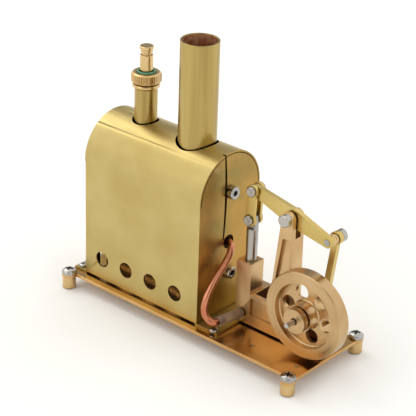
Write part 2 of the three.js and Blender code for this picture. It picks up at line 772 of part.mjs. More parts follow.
function buildFillerCap() {
  const top = toSolid(prismZ(knurledShape(capRadius, knurlDepth, knurlCount), capBottom, capTop));
  const chamfer = toSolid(turnedZ([
    [0, capBottom], [capRadius - 0.35, capBottom], [capRadius + 0.05, capBottom + 0.35],
    [capRadius + 0.05, capTop - 0.5], [capRadius - 0.45, capTop], [0, capTop],
  ], 36));
  const sealGroove = sealMinor * 2 + stemRadius + fixedClearance + 0.1;
  const plugBottom = capBottom - capPlugDepth;
  const cap = top.intersect(chamfer)
    .add(toSolid(turnedZ(rodProfile(neckBore - 0.1, plugBottom, capBottom + 0.5), 24)))
    .subtract(toSolid(turnedZ(rodProfile(sealGroove, sealSeat, capTop + 1), 24)))
    .subtract(toSolid(turnedZ(rodProfile(stemRodRadius + runningClearance, plugBottom - 1, capTop), 20)));
  addMesh(engine, "filler_cap", cap, "turnedBrass", [neckX, middleY, 0]);

  const seal = new THREE.TorusGeometry(stemRadius + fixedClearance + sealMinor, sealMinor, 6, 20);
  const sealZ = sealSeat + sealMinor + fixedClearance;
  addMesh(engine, "cap_seal_ring", closedGeometry(seal), "rubber", [neckX, middleY, sealZ]);

  const discTop = plugBottom - springLength - fixedClearance;
  const discBottom = discTop - stemDiscHeight;
  const stemTop = sealSeat + stemHeight;
  const grooveTop = stemTop + stemGrooveHeight;
  const knobNeckTop = grooveTop + knobNeckHeight;
  const knobTop = grooveTop + knobHeight;
  const stem = turnedZ([
    [0, discBottom], [stemRadius, discBottom], [stemRadius, discTop], [stemRodRadius, discTop],
    [stemRodRadius, sealSeat], [stemRadius, sealSeat], [stemRadius, stemTop],
    [stemGrooveRadius, stemTop], [stemGrooveRadius, grooveTop],
    [knobNeckRadius, grooveTop], [knobNeckRadius, knobNeckTop], [knobRadius, knobNeckTop + 0.2],
    [knobRadius, knobTop - 0.2], [knobRadius - 0.2, knobTop], [0, knobTop],
  ], 16);
  addMesh(engine, "valve_stem", closedGeometry(stem), "turnedBrass", [neckX, middleY, 0]);

  const springRadius = stemRodRadius + springWire + 0.25;
  const helix = new Helix(springRadius, springTurns, springLength - 2 * springWire - 2 * fixedClearance);
  const spring = sweptTube(helix, springWire, 0, springTurns * 9, 3, 0);
  addMesh(engine, "valve_spring", spring, "steel", [neckX, middleY, discTop + springWire + fixedClearance]);
}

// ---------------------------------------------------------------- spirit burner

function buildBurner() {
  const tankZ0 = bracketTop + 0.2;
  const tankZ1 = tankZ0 + tankHeight;
  const y0 = middleY - tankWidth / 2;
  const y1 = middleY + tankWidth / 2;
  const inner = tankWall;
  let tank = box(tankX0, tankX1, y0, y1, tankZ0, tankZ1)
    .subtract(box(tankX0 + inner, tankX1 - inner, y0 + inner, y1 - inner, tankZ0 + inner, tankZ1 - inner));
  const tabZ = tankZ0 + handleLift;
  const tabX0 = tankX0 - handleReach;
  const halfTab = handleWidth / 2;
  const tabFront = middleY - halfTab;
  const tabBack = middleY + halfTab;
  tank = tank.add(box(tabX0, tankX0 + 0.2, tabFront, tabBack, tabZ, tabZ + handleSheet));
  tank = tank.add(box(tabX0, tabX0 + handleSheet, tabFront, tabBack, tabZ, tabZ + handleHeight));
  for (const x of wickXs) {
    tank = tank.subtract(rodZ(wickTubeRadius + fixedClearance, x, middleY, tankZ1 - 1, tankZ1 + 1, 20));
  }
  addMesh(engine, "burner_tank", tank, "turnedBrass");

  const tubeTop = plateTop + wickTubeTop;
  wickXs.forEach((x, i) => {
    const inside = wickTubeRadius - wickTubeWall;
    const tube = ringProfile(inside, wickTubeRadius, tankZ1 - wickTubeSeat, tubeTop);
    addMesh(engine, `wick_tube_${i + 1}`, closedGeometry(turnedZ(tube, 20)), "turnedBrass", [x, middleY, 0]);
    const wick = rodProfile(inside - 0.1, tankZ0 + 1, plateTop + wickTop);
    addMesh(engine, `wick_${i + 1}`, closedGeometry(turnedZ(wick, 16)), "cotton", [x, middleY, 0]);
  });
}

// ---------------------------------------------------------------- steam line

const nipplePlace = new THREE.Vector3(nippleX, bedFrontY, plateTop + nippleHeight);
const tubeDirection = new THREE.Vector3(-Math.sin(radians(nippleLean)), -Math.cos(radians(nippleLean)), 0);

function alongTube(distance) {
  return nipplePlace.clone().addScaledVector(tubeDirection, distance);
}

function toVector([x, y, z]) {
  return new THREE.Vector3(x, y, z);
}

function buildSteamLine() {
  const tubeEnd = tubeOffset + tubeLength;
  const points = [
    new THREE.Vector3(drumX1 - 1.8, middleY, pipeExitZ),
    new THREE.Vector3(drumX1 + 0.4, middleY, pipeExitZ),
    new THREE.Vector3(casingX1 + 0.6, middleY - 0.1, pipeExitZ - 0.1),
    ...bendsFromCasing.map((bend) => new THREE.Vector3(casingX1, middleY, pipeExitZ).add(toVector(bend))),
    ...bendsToTube.map((bend) => alongTube(tubeEnd).add(toVector(bend))),
    alongTube(tubeEnd + 1.3),
    alongTube(tubeEnd),
    alongTube(tubeEnd - 1.1),
    alongTube(tubeEnd - 2.2),
  ];
  const route = new THREE.CatmullRomCurve3(points);
  addMesh(engine, "steam_pipe", sweptTube(route, pipeRadius, pipeBore, 30, 5, 6), "copper");

  const lean = -radians(nippleLean);
  const sleeve = turnedZ(ringProfile(tubeBore, tubeRadius, 0, tubeLength), 20);
  sleeve.rotateX(Math.PI / 2);
  addMesh(engine, "silicone_tube", closedGeometry(sleeve), "silicone",
    alongTube(tubeOffset).toArray(), [0, 0, lean]);

  const spigot = portRadius - fixedClearance;
  const barb = turnedZ([
    [nippleBore, -nippleSpigot], [spigot, -nippleSpigot], [spigot, 0.25], [1.35, 0.25], [1.35, 0.42],
    [0.85, 0.42], [0.85, 2.0], [1.0, 2.2], [0.8, 2.8], [nippleBore, 2.8], [nippleBore, -nippleSpigot],
  ], 16);
  barb.rotateX(Math.PI / 2);
  addMesh(engine, "inlet_nipple", closedGeometry(barb), "turnedBrass", nipplePlace.toArray(), [0, 0, lean]);
}

// ---------------------------------------------------------------- engine bed

function postShape() {
  const shape = new THREE.Shape();
  shape.moveTo(shaftX - postWidth / 2, bedTopZ - 1);
  shape.lineTo(shaftX + postWidth / 2, bedTopZ - 1);
  shape.lineTo(shaftX + postRadius, shaftZ);
  shape.absarc(shaftX, shaftZ, postRadius, 0, Math.PI, false);
  shape.lineTo(shaftX - postWidth / 2, bedTopZ - 1);
  return shape;
}

function buildBed() {
  const blockX1 = bedX0 + blockWidth;
  let bed = box(bedX0, bedX1, bedFrontY, bedBackY, bedBottom, bedTopZ)
    .add(box(bedX0, blockX1, bedFrontY, bedFrontY + blockDepth, bedTopZ - 1, blockTopZ))
    .add(toSolid(prismY(postShape(), bedFrontY, postBackY, 7)))
    .add(box(padX0, padX1, bedFrontY + 1, bedBackY - 1, plateTop, bedBottom + 1));
  const pocketFront = bedFrontY + panelDepth + pocketFrontWall;
  const pocketBack = bedBackY - pocketWall;
  const pocketX0 = blockX1 + pocketWall;
  const pocketX1 = columnBaseLeft - pocketStop;
  const above = bedTopZ + 1;
  bed = bed.subtract(box(pocketX0, pocketX1, pocketFront, pocketBack, plateTop + pocketFloor, above));
  const pitX0 = shaftX - crankRadius - rodEyeRadius - pocketWall;
  const pitX1 = bedX1 - crankPitWall;
  const pitZ = plateTop + crankPitFloor;
  bed = bed.subtract(box(pitX0, pitX1, postBackY, pocketBack, pitZ, above));
  const notchZ = shaftZ - crankRadius - rodEyeRadius - crankPitRoom;
  bed = bed.subtract(box(pitX1 - 0.1, bedX1 + 1, postBackY, pocketBack, notchZ, above));
  const panelX0 = blockX1 + panelSide;
  const panelX1 = bedX1 - panelEnd;
  const panel = polygon([
    [panelX0, pitZ], [panelX1, pitZ], [panelX1, bedTopZ - panelTop], [panelX0, bedTopZ - panelTop],
  ]);
  bed = bed.subtract(toSolid(prismY(panel, bedFrontY - 1, bedFrontY + panelDepth)));
  const bore = pistonRadius + runningClearance + 0.01;
  bed = bed.subtract(rodZ(bore, cylinderX, middleY, plateTop + boreBottom, blockTopZ + 1, 24));
  bed = bed.subtract(rodY(bushOuter + fixedClearance, shaftX, shaftZ, bedFrontY - 1, postBackY + 1, 20));
  for (const [x, y] of bedScrewPlaces) {
    const depth = footHeight + bedScrew.length + 0.3;
    bed = bed.subtract(rodZ(bedScrew.shank + fixedClearance, x, y, plateTop - 1, depth, 16));
  }
  const port = turnedZ(rodProfile(portRadius, -portDepth, 1), 16);
  port.rotateX(Math.PI / 2);
  port.rotateZ(-radians(nippleLean));
  port.translate(...nipplePlace.toArray());
  bed = bed.subtract(toSolid(port));
  bed = bed.subtract(rodY(nippleBore, nippleX, plateTop + nippleHeight, bedFrontY + 0.5, middleY, 12));
  addMesh(engine, "engine_bed", bed, "bronze");

  bedScrewPlaces.forEach(([x, y], i) => {
    const place = [x, y, footHeight];
    addMesh(engine, `bed_screw_${i + 1}`, crossHeadScrew(bedScrew, 14), "chrome", place, [Math.PI, 0, 0]);
  });

  const bush = turnedZ([
    [shaftRadius + runningClearance, -bushFlangeThickness],
    [bushFlange, -bushFlangeThickness],
    [bushFlange, 0],
    [bushOuter, 0],
    [bushOuter, postBackY - bedFrontY + 0.3],
    [shaftRadius + runningClearance, postBackY - bedFrontY + 0.3],
    [shaftRadius + runningClearance, -bushFlangeThickness],
  ], 20);
  bush.rotateX(-Math.PI / 2);
  addMesh(engine, "crankshaft_bush", closedGeometry(bush), "turnedBrass", [shaftX, bedFrontY, shaftZ]);
}

// ---------------------------------------------------------------- column and pivot

function columnShape() {
  const shape = new THREE.Shape();
  shape.moveTo(columnBaseLeft, bedTopZ);
  shape.lineTo(columnBaseRight, bedTopZ);
  shape.lineTo(pivotX + columnEar, pivotZ);
  shape.absarc(pivotX, pivotZ, columnEar, 0, Math.PI, false);
  shape.lineTo(columnBaseLeft, bedTopZ);
  return shape;
}

function buildColumn() {
  const frontY = bedFrontY;
  const backY = bedFrontY + columnDepth;
  let column = toSolid(prismY(columnShape(), frontY, backY, 7));
  const halfSlot = slotWidth / 2;
  column = column.subtract(box(
    columnBaseLeft - 1, columnBaseRight + 1, middleY - halfSlot, middleY + halfSlot,
    pivotZ - slotDepth, pivotZ + columnEar + 1,
  ));
  const pinBore = pivotPin.shank + runningClearance;
  column = column.subtract(rodY(pinBore, pivotX, pivotZ, frontY - 1, backY + 1, 20));
  const panel = polygon([
    [columnBaseLeft + 1.0, bedTopZ + columnPanelFoot], [columnBaseRight - 0.4, bedTopZ + columnPanelFoot],
    [pivotX + columnEar - 0.3, pivotZ - columnPanelTop], [pivotX - columnEar + 1.0, pivotZ - columnPanelTop],
  ]);
  column = column.subtract(toSolid(prismY(panel, frontY - 1, frontY + columnPanelDepth)));
  column = column.subtract(toSolid(prismY(panel, backY - columnPanelDepth, backY + 1)));
  addMesh(engine, "column", column, "bronze");

  const { shank, head, headHeight, tail } = pivotPin;
  const pinEnd = columnDepth + pivotWasher.thickness + tail;
  const pin = turnedZ([
    [0, -pinEnd], [shank, -pinEnd], [shank, 0], [head, 0], [head, headHeight - 0.2],
    [head - 0.2, headHeight], [0, headHeight],
  ], 24);
  pin.rotateX(Math.PI / 2);
  addMesh(engine, "beam_pivot_pin", closedGeometry(pin), "steel", [pivotX, frontY, pivotZ]);
  const { radius, thickness } = pivotWasher;
  const washer = turnedZ(ringProfile(shank + fixedClearance, radius, 0, thickness), 24);
  washer.rotateX(-Math.PI / 2);
  addMesh(engine, "beam_pivot_washer", closedGeometry(washer), "steel", [pivotX, backY, pivotZ]);
}

// ---------------------------------------------------------------- beam, links, connecting rod

// Bar with round eyes of its own radius at both ends and a deeper middle, drawn about the pivot.
function beamShape() {
  const left = -beamPistonArm;
  const right = beamCrankArm;
  const end = beamEndRadius;
  const slopeLeft = Math.atan2(beamHalfDepth - end, beamPistonArm);
  const slopeRight = Math.atan2(beamHalfDepth - end, beamCrankArm);
  const shape = new THREE.Shape();
  shape.moveTo(0, -beamHalfDepth);
  shape.lineTo(right + end * Math.sin(slopeRight), -end * Math.cos(slopeRight));
  shape.absarc(right, 0, end, -Math.PI / 2 + slopeRight, Math.PI / 2 - slopeRight, false);
  shape.lineTo(0, beamHalfDepth);
  shape.lineTo(left - end * Math.sin(slopeLeft), end * Math.cos(slopeLeft));
  shape.absarc(left, 0, end, Math.PI / 2 + slopeLeft, (Math.PI * 3) / 2 - slopeLeft, false);
  shape.lineTo(0, -beamHalfDepth);
  return shape;
}

// Straight bar that hangs down from an eye at the origin to an eye at z = -length.
function barShape(length, width, eye) {
  const half = width / 2;
  const drop = Math.sqrt(eye * eye - half * half);
  const start = Math.asin(half / eye);
  const shape = new THREE.Shape();
  shape.moveTo(half, -length + drop);
  shape.lineTo(half, -drop);
  shape.absarc(0, 0, eye, -Math.PI / 2 + start, (Math.PI * 3) / 2 - start, false);
  shape.lineTo(-half, -length + drop);
  shape.absarc(0, -length, eye, Math.PI / 2 + start, (Math.PI * 5) / 2 - start, false);
  return shape;
}

function buildBeam() {
  const tilted = new THREE.Group();
  tilted.position.set(pivotX, middleY, pivotZ);
  tilted.rotation.y = beamTilt;
  engine.add(tilted);
  const half = beamThickness / 2;
  const beam = toSolid(prismY(beamShape(), -half, half, 7))
    .subtract(rodY(pivotPin.shank + runningClearance, 0, 0, -2, 2, 20))
    .subtract(rodY(linkPinRadius + fixedClearance, -beamPistonArm, 0, -2, 2, 16))
    .subtract(rodY(rodScrew.shank + fixedClearance, beamCrankArm, 0, -2, 2, 20));
  addMesh(tilted, "beam", beam, "satinBrass");

  const pin = closedGeometry(linkPin(linkPinHalf));
  addMesh(tilted, "upper_link_pin", pin, "steel", [-beamPistonArm, 0, 0]);

  const rodFront = rodY0 - middleY;
  const rodBack = rodY1 - middleY;
  const screwLength = rodBack + fixedClearance + half + 0.1;
  addMesh(tilted, "conrod_screw", socketScrew({ ...rodScrew, length: screwLength }), "steel",
    [beamCrankArm, rodBack + fixedClearance, 0], [-Math.PI / 2, 0, 0]);
  const spacerLength = (rodFront - half - 3 * fixedClearance) / 2;
  for (let i = 0; i < 2; i += 1) {
    const start = half + fixedClearance + i * (spacerLength + fixedClearance);
    const ring = turnedZ(ringProfile(rodScrew.shank + fixedClearance, spacerRadius, 0, spacerLength), 20);
    ring.rotateX(-Math.PI / 2);
    addMesh(tilted, `conrod_spacer_${i + 1}`, closedGeometry(ring), "turnedBrass", [beamCrankArm, start, 0]);
  }
}

function buildLinks() {
  const hanging = new THREE.Group();
  hanging.position.set(linkTopX, middleY, linkTopZ);
  hanging.rotation.y = linkLean;
  engine.add(hanging);
  const half = linkThickness / 2;
  const link = toSolid(prismY(barShape(linkLength, linkWidth, linkEyeRadius), -half, half, 6))
    .subtract(rodY(linkPinRadius + runningClearance, 0, 0, -2, 2, 20))
    .subtract(rodY(linkPinRadius + linkEyeSlack, 0, -linkLength, -2, 2, 20));
  const place = (linkInner + linkOuter) / 2;
  addMesh(hanging, "piston_link_front", link, "satinBrass", [0, -place, 0]);
  addMesh(hanging, "piston_link_back", link, "satinBrass", [0, place, 0]);
}

function buildPiston() {
  const shoulderZ = pistonPinZ - pistonShoulder;
  const half = tongueWidth / 2;
  const tongue = new THREE.Shape();
  tongue.moveTo(cylinderX - half, shoulderZ - 1);
  tongue.lineTo(cylinderX + half, shoulderZ - 1);
  tongue.lineTo(cylinderX + half, pistonPinZ);
  tongue.absarc(cylinderX, pistonPinZ, half, 0, Math.PI, false);
  tongue.lineTo(cylinderX - half, shoulderZ - 1);
  const halfThick = beamThickness / 2;
  const piston = rodZ(pistonRadius, cylinderX, middleY, plateTop + pistonBottom, shoulderZ, 24)
    .add(toSolid(prismY(tongue, middleY - halfThick, middleY + halfThick, 6)))
    .subtract(rodY(linkPinRadius + fixedClearance, cylinderX, pistonPinZ, middleY - 2, middleY + 2, 16));
  addMesh(engine, "piston", piston, "steel");
  const pin = closedGeometry(linkPin(linkPinHalf));
  addMesh(engine, "lower_link_pin", pin, "steel", [cylinderX, middleY, pistonPinZ]);
}

function buildConrod() {
  const hanging = new THREE.Group();
  hanging.position.set(rodPinX, 0, rodPinZ);
  hanging.rotation.y = rodLean;
  engine.add(hanging);
  const { shank, head, headHeight, gap } = crankPin;
  const rod = toSolid(prismY(barShape(rodLength, rodWidth, rodEyeRadius), rodY0, rodY1, 6))
    .subtract(rodY(rodScrew.shank + runningClearance, 0, 0, rodY0 - 1, rodY1 + 1, 20))
    .subtract(rodY(shank + fixedClearance, 0, -rodLength, rodY0 - 1, rodY1 + 1, 16));
  addMesh(hanging, "connecting_rod", rod, "satinBrass");
  const pinStart = crankDiscY1 + gap;
  const headStart = rodY1 + fixedClearance;
  const headEnd = headStart + headHeight;
  const pin = turnedZ([
    [0, pinStart], [shank, pinStart], [shank, headStart], [head, headStart], [head, headEnd], [0, headEnd],
  ], 20);
  pin.rotateX(-Math.PI / 2);
  addMesh(hanging, "crank_pin", closedGeometry(pin), "steel", [0, 0, -rodLength]);
}

// ---------------------------------------------------------------- crankshaft and flywheel

function buildCrank() {
  const shaftY0 = flywheelFrontY - collarReach - shaftReach;
  const shaft = turnedZ([
    [0, shaftY0], [shaftRadius - 0.15, shaftY0], [shaftRadius, shaftY0 + 0.15],
    [shaftRadius, crankDiscY1], [0, crankDiscY1],
  ], 20);
  shaft.rotateX(-Math.PI / 2);
  addMesh(engine, "crankshaft", closedGeometry(shaft), "steel", [shaftX, 0, shaftZ]);

  const pinHole = rodY(crankPin.shank + fixedClearance, crankPinX, crankPinZ, crankDiscY0 - 1, crankDiscY1 + 1, 16);
  const disc = rodY(crankDiscRadius, shaftX, shaftZ, crankDiscY0, crankDiscY1, 28)
    .subtract(rodY(shaftRadius + fixedClearance, shaftX, shaftZ, crankDiscY0 - 1, crankDiscY1 + 1, 20))
    .subtract(pinHole);
  addMesh(engine, "crank_disc", disc, "turnedBrass");
}

function buildFlywheel() {
  const inner = flywheelRadius - flywheelRim;
  const webFront = flywheelRecess;
  const webBack = flywheelRecess + flywheelWeb;
  const bore = shaftRadius + fixedClearance;
  const groove = collarRadius - collarGrooveDepth;
  const profile = [
    [bore, flywheelThickness], [bore, -collarReach], [collarRadius, -collarReach],
    [collarRadius, -hubReach - collarGrooveWidth], [groove, -hubReach - collarGrooveWidth],
    [groove, -hubReach], [hubRadius, -hubReach], [hubRadius, webFront],
    [inner, webFront], [inner, 0], [flywheelRadius - flywheelEdge, 0], [flywheelRadius, flywheelEdge],
    [flywheelRadius, flywheelThickness - flywheelEdge], [flywheelRadius - flywheelEdge, flywheelThickness],
    [inner, flywheelThickness], [inner, webBack], [hubRadius, webBack], [hubRadius, flywheelThickness],
    [bore, flywheelThickness],
  ];
  const blank = turnedZ(profile, 44);
  blank.rotateX(-Math.PI / 2);
  let wheel = toSolid(blank);
  for (let i = 0; i < flywheelHoleCount; i += 1) {
    const angle = radians(flywheelHoleStart) + (i / flywheelHoleCount) * 2 * Math.PI;
    const x = flywheelHolePitch * Math.cos(angle);
    const z = flywheelHolePitch * Math.sin(angle);
    wheel = wheel.subtract(rodY(flywheelHoleRadius, x, z, webFront - 1, webBack + 0.5, 16));
  }
  const grubY = -(hubReach + collarReach + collarGrooveWidth) / 2;
  wheel = wheel.subtract(rodZ(grubRadius + fixedClearance, 0, grubY, -collarRadius - 1, 0, 12));
  addMesh(engine, "flywheel", wheel, "bronze", [shaftX, flywheelFrontY, shaftZ]);
  const grub = turnedZ(rodProfile(grubRadius, -collarRadius + grubRecess, -bore), 12);
  const place = [shaftX, flywheelFrontY + grubY, shaftZ];
  addMesh(engine, "flywheel_grub_screw", closedGeometry(grub), "steel", place);
}

// ---------------------------------------------------------------- assembly

buildBasePlate();
buildFeet();
buildCasing();
buildBrackets();
buildCasingScrews();
buildBoiler();
buildFillerCap();
buildBurner();
buildSteamLine();
buildBed();
buildColumn();
buildBeam();
buildLinks();
buildPiston();
buildConrod();
buildCrank();
buildFlywheel();

const leftEnd = -footSpacingX / 2 - footScrew.head;
const rightEnd = Math.max(shaftX + flywheelRadius, footSpacingX / 2 + footScrew.head);
engine.position.x = -(leftEnd + rightEnd) / 2;

const model = new THREE.Group();
model.add(engine);
model.updateMatrixWorld(true);

export default model;
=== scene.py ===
"""Looks of a small brass beam engine with its boiler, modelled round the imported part.

Every sub-assembly is a class with its sizes in millimetres as fields. A piece is modelled in
millimetres with the Bench, then seated, which scales it to metres and gives it its finish,
its body and the CAD nodes that it stands for.
"""

import logging
import math
from dataclasses import dataclass, field
from enum import Enum
from itertools import pairwise

import bpy
from mathutils import Matrix, Vector


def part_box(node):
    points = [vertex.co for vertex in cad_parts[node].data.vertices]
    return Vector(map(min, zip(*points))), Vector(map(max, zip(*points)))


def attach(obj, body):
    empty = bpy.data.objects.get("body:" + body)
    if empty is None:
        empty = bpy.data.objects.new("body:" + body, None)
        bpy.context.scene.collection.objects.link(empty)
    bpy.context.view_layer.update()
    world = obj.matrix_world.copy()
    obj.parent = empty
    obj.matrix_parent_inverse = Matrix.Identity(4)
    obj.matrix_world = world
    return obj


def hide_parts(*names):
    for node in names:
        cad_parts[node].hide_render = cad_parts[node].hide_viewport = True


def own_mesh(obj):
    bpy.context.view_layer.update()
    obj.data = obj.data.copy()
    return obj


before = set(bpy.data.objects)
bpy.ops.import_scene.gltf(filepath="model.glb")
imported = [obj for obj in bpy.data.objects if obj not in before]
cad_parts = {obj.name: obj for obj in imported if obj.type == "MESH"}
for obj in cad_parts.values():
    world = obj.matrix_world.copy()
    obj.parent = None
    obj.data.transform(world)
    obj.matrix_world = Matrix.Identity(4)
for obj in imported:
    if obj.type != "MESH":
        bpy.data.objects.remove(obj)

LOG = logging.getLogger("beam_engine")
MM = 0.001
MERGE = 0.001

Point = tuple[float, float]


# ------------------------------------------------------------------ shapes and places


class Axis(Enum):
    """The row axis that an outline is extruded along, or that a piece is turned about."""

    X = 0
    Y = 1
    Z = 2

    def place(self, u: float, v: float, along: float) -> Vector:
        """Puts a point of an outline in space.

        Args:
            u: First coordinate across the axis, in X, Y, Z order.
            v: Second coordinate across the axis.
            along: Coordinate along the axis.

        Returns:
            The point in millimetres.
        """
        if self is Axis.X:
            return Vector((along, u, v))
        if self is Axis.Y:
            return Vector((u, along, v))
        return Vector((u, v, along))

    def turn(self) -> Matrix:
        """Rotation that takes +Z to this axis."""
        if self is Axis.X:
            return Matrix.Rotation(math.pi / 2, 4, "Y")
        if self is Axis.Y:
            return Matrix.Rotation(-math.pi / 2, 4, "X")
        return Matrix.Identity(4)


class Mix(Enum):
    """What a boolean does with the second solid."""

    ADD = "UNION"
    CUT = "DIFFERENCE"
    KEEP = "INTERSECT"


@dataclass(frozen=True)
class Space:
    """The room that a CAD node takes at rest, in millimetres."""

    low: Vector
    high: Vector

    @classmethod
    def of(cls, node: str) -> "Space":
        """Reads the room of one CAD node.

        Args:
            node: Name of the node.

        Returns:
            Its lowest and highest corners.
        """
        low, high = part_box(node)
        return cls(low / MM, high / MM)

    @property
    def middle(self) -> Vector:
        """Centre of the room."""
        return (self.low + self.high) / 2

    @property
    def size(self) -> Vector:
        """Length of each side."""
        return self.high - self.low


def arc(centre: Point, radius: float, start: float, end: float, steps: int = 24) -> list[Point]:
    """Points along an arc.

    Args:
        centre: Middle of the circle.
        radius: Its radius.
        start: First angle in degrees.
        end: Last angle in degrees.
        steps: Number of straight parts.

    Returns:
        The points, both ends included.
    """
    points = []
    for step in range(steps + 1):
        angle = math.radians(start + (end - start) * step / steps)
        points.append((centre[0] + radius * math.cos(angle), centre[1] + radius * math.sin(angle)))
    return points


def bar_outline(length: float, half_width: float, eye: float) -> list[Point]:
    """Outline of a straight bar that hangs from an eye at (0, 0) to an eye at (0, -length).

    Args:
        length: Distance between the eyes.
        half_width: Half the width of the bar.
        eye: Outer radius of both eyes.

    Returns:
        The closed outline, without its first point repeated.
    """
    tuck = math.degrees(math.asin(half_width / eye))
    upper = arc((0.0, 0.0), eye, -90 + tuck, 270 - tuck, 40)
    lower = arc((0.0, -length), eye, 90 + tuck, 450 - tuck, 40)
    return upper + lower


class Bench:
    """Hand tools for the pieces. Lengths are in millimetres until a piece is seated."""

    @staticmethod
    def alone(piece: bpy.types.Object) -> None:
        """Selects one piece and makes it the active one.

        Args:
            piece: The piece to work on.
        """
        bpy.ops.object.select_all(action="DESELECT")
        piece.select_set(True)
        bpy.context.view_layer.objects.active = piece

    @classmethod
    def draw(cls, name: str, points: list[Vector]) -> bpy.types.Object:
        """Draws a line of edges by extruding one vertex from point to point.

        Args:
            name: Name of the new piece.
            points: The corners of the line.

        Returns:
            The new piece.
        """
        bpy.ops.object.select_all(action="DESELECT")
        bpy.ops.mesh.primitive_plane_add(size=1.0, location=points[0])
        piece = bpy.context.active_object
        piece.name = name
        bpy.ops.object.mode_set(mode="EDIT")
        bpy.ops.mesh.select_all(action="SELECT")
        bpy.ops.mesh.merge(type="CENTER")
        for here, there in pairwise(points):
            bpy.ops.mesh.extrude_region_move(TRANSFORM_OT_translate={"value": there - here})
        bpy.ops.object.mode_set(mode="OBJECT")
        bpy.ops.object.transform_apply(location=True, rotation=True, scale=True)
        return piece

    @classmethod
    def turned(
        cls,
        name: str,
        profile: list[Point],
        axis: Axis = Axis.Z,
        at: Vector = Vector((0, 0, 0)),
        steps: int = 64,
    ) -> bpy.types.Object:
        """Turns a profile into a body of revolution, as on a lathe.

        Args:
            name: Name of the new piece.
            profile: Radius and height of each corner. A ring's profile ends where it starts.
            axis: The axis that the piece ends up on.
            at: Where the profile's height 0 ends up.
            steps: Faces round the piece.

        Returns:
            The new piece.
        """
        piece = cls.draw(name, [Vector((radius, 0, height)) for radius, height in profile])
        bpy.ops.object.mode_set(mode="EDIT")
        bpy.ops.mesh.select_all(action="SELECT")
        bpy.ops.mesh.spin(steps=steps, angle=2 * math.pi, center=(0, 0, 0), axis=(0, 0, 1))
        cls.close()
        return cls.place(piece, Matrix.Translation(at) @ axis.turn())

    @staticmethod
    def close() -> None:
        """Merges doubles, turns the faces of the piece in edit mode outwards and leaves edit mode."""
        bpy.ops.mesh.select_all(action="SELECT")
        bpy.ops.mesh.remove_doubles(threshold=MERGE)
        bpy.ops.mesh.normals_make_consistent(inside=False)
        bpy.ops.object.mode_set(mode="OBJECT")

    @classmethod
    def blank(
        cls, name: str, outline: list[Point], axis: Axis, start: float, end: float
    ) -> bpy.types.Object:
        """Cuts a blank: an outline filled and extruded along an axis.

        Args:
            name: Name of the new piece.
            outline: Corners of the outline, without the first one repeated.
            axis: Direction of the extrusion.
            start: Where the blank starts along the axis.
            end: Where it ends.

        Returns:
            The new piece.
        """
        corners = [axis.place(u, v, start) for u, v in outline]
        piece = cls.draw(name, corners + corners[:1])
        bpy.ops.object.mode_set(mode="EDIT")
        bpy.ops.mesh.select_all(action="SELECT")
        bpy.ops.mesh.remove_doubles(threshold=MERGE)
        bpy.ops.mesh.edge_face_add()
        step = axis.place(0, 0, end - start)
        bpy.ops.mesh.extrude_region_move(TRANSFORM_OT_translate={"value": step})
        cls.close()
        return piece

    @classmethod
    def block(cls, name: str, low: Vector, high: Vector) -> bpy.types.Object:
        """Saws a rectangular block, as a start or as a cutter.

        Args:
            name: Name of the new piece.
            low: Its lowest corner.
            high: Its highest corner.

        Returns:
            The new piece.
        """
        bpy.ops.object.select_all(action="DESELECT")
        bpy.ops.mesh.primitive_cube_add(size=1.0, location=(low + high) / 2, scale=high - low)
        piece = bpy.context.active_object
        piece.name = name
        bpy.ops.object.transform_apply(location=True, rotation=True, scale=True)
        return piece

    @classmethod
    def drill(
        cls,
        piece: bpy.types.Object,
        radius: float,
        axis: Axis,
        centre: Point,
        span: Point,
        sides: int = 48,
    ) -> bpy.types.Object:
        """Drills a round hole.

        Args:
            piece: The piece to drill.
            radius: Radius of the hole.
            axis: Its direction.
            centre: Its place across the axis.
            span: Where it starts and ends along the axis.
            sides: Faces round the hole.

        Returns:
            The drilled piece.
        """
        bit = cls.turned(
            "drill_bit",
            [(0, span[0]), (radius, span[0]), (radius, span[1]), (0, span[1])],
            axis,
            axis.place(*centre, 0),
            sides,
        )
        return cls.mix(piece, bit, Mix.CUT)

    @classmethod
    def mix(
        cls, piece: bpy.types.Object, other: bpy.types.Object, how: Mix
    ) -> bpy.types.Object:
        """Joins, cuts or intersects a piece with another solid, which is used up.

        Args:
            piece: The piece that stays.
            other: The solid that is used.
            how: What to do with it.

        Returns:
            The changed piece.
        """
        cls.alone(piece)
        bpy.ops.object.modifier_add(type="BOOLEAN")
        modifier = piece.modifiers[-1]
        modifier.operation = how.value
        modifier.object = other
        modifier.solver = "EXACT"
        bpy.ops.object.modifier_apply(modifier=modifier.name)
        bpy.data.objects.remove(other, do_unlink=True)
        return piece

    @classmethod
    def place(cls, piece: bpy.types.Object, matrix: Matrix) -> bpy.types.Object:
        """Moves and turns a piece, and applies it to the mesh.

        Args:
            piece: The piece.
            matrix: The move.

        Returns:
            The same piece.
        """
        cls.alone(piece)
        piece.matrix_world = matrix @ piece.matrix_world
        bpy.ops.object.transform_apply(location=True, rotation=True, scale=True)
        return piece

    @classmethod
    def copy(cls, piece: bpy.types.Object, name: str, matrix: Matrix) -> bpy.types.Object:
        """Copies a piece with a mesh of its own.

        Args:
            piece: The piece to copy, before it is seated.
            name: Name of the copy.
            matrix: Where the copy goes.

        Returns:
            The copy.
        """
        cls.alone(piece)
        bpy.ops.object.duplicate(linked=False)
        twin = bpy.context.active_object
        twin.name = name
        return cls.place(twin, matrix)

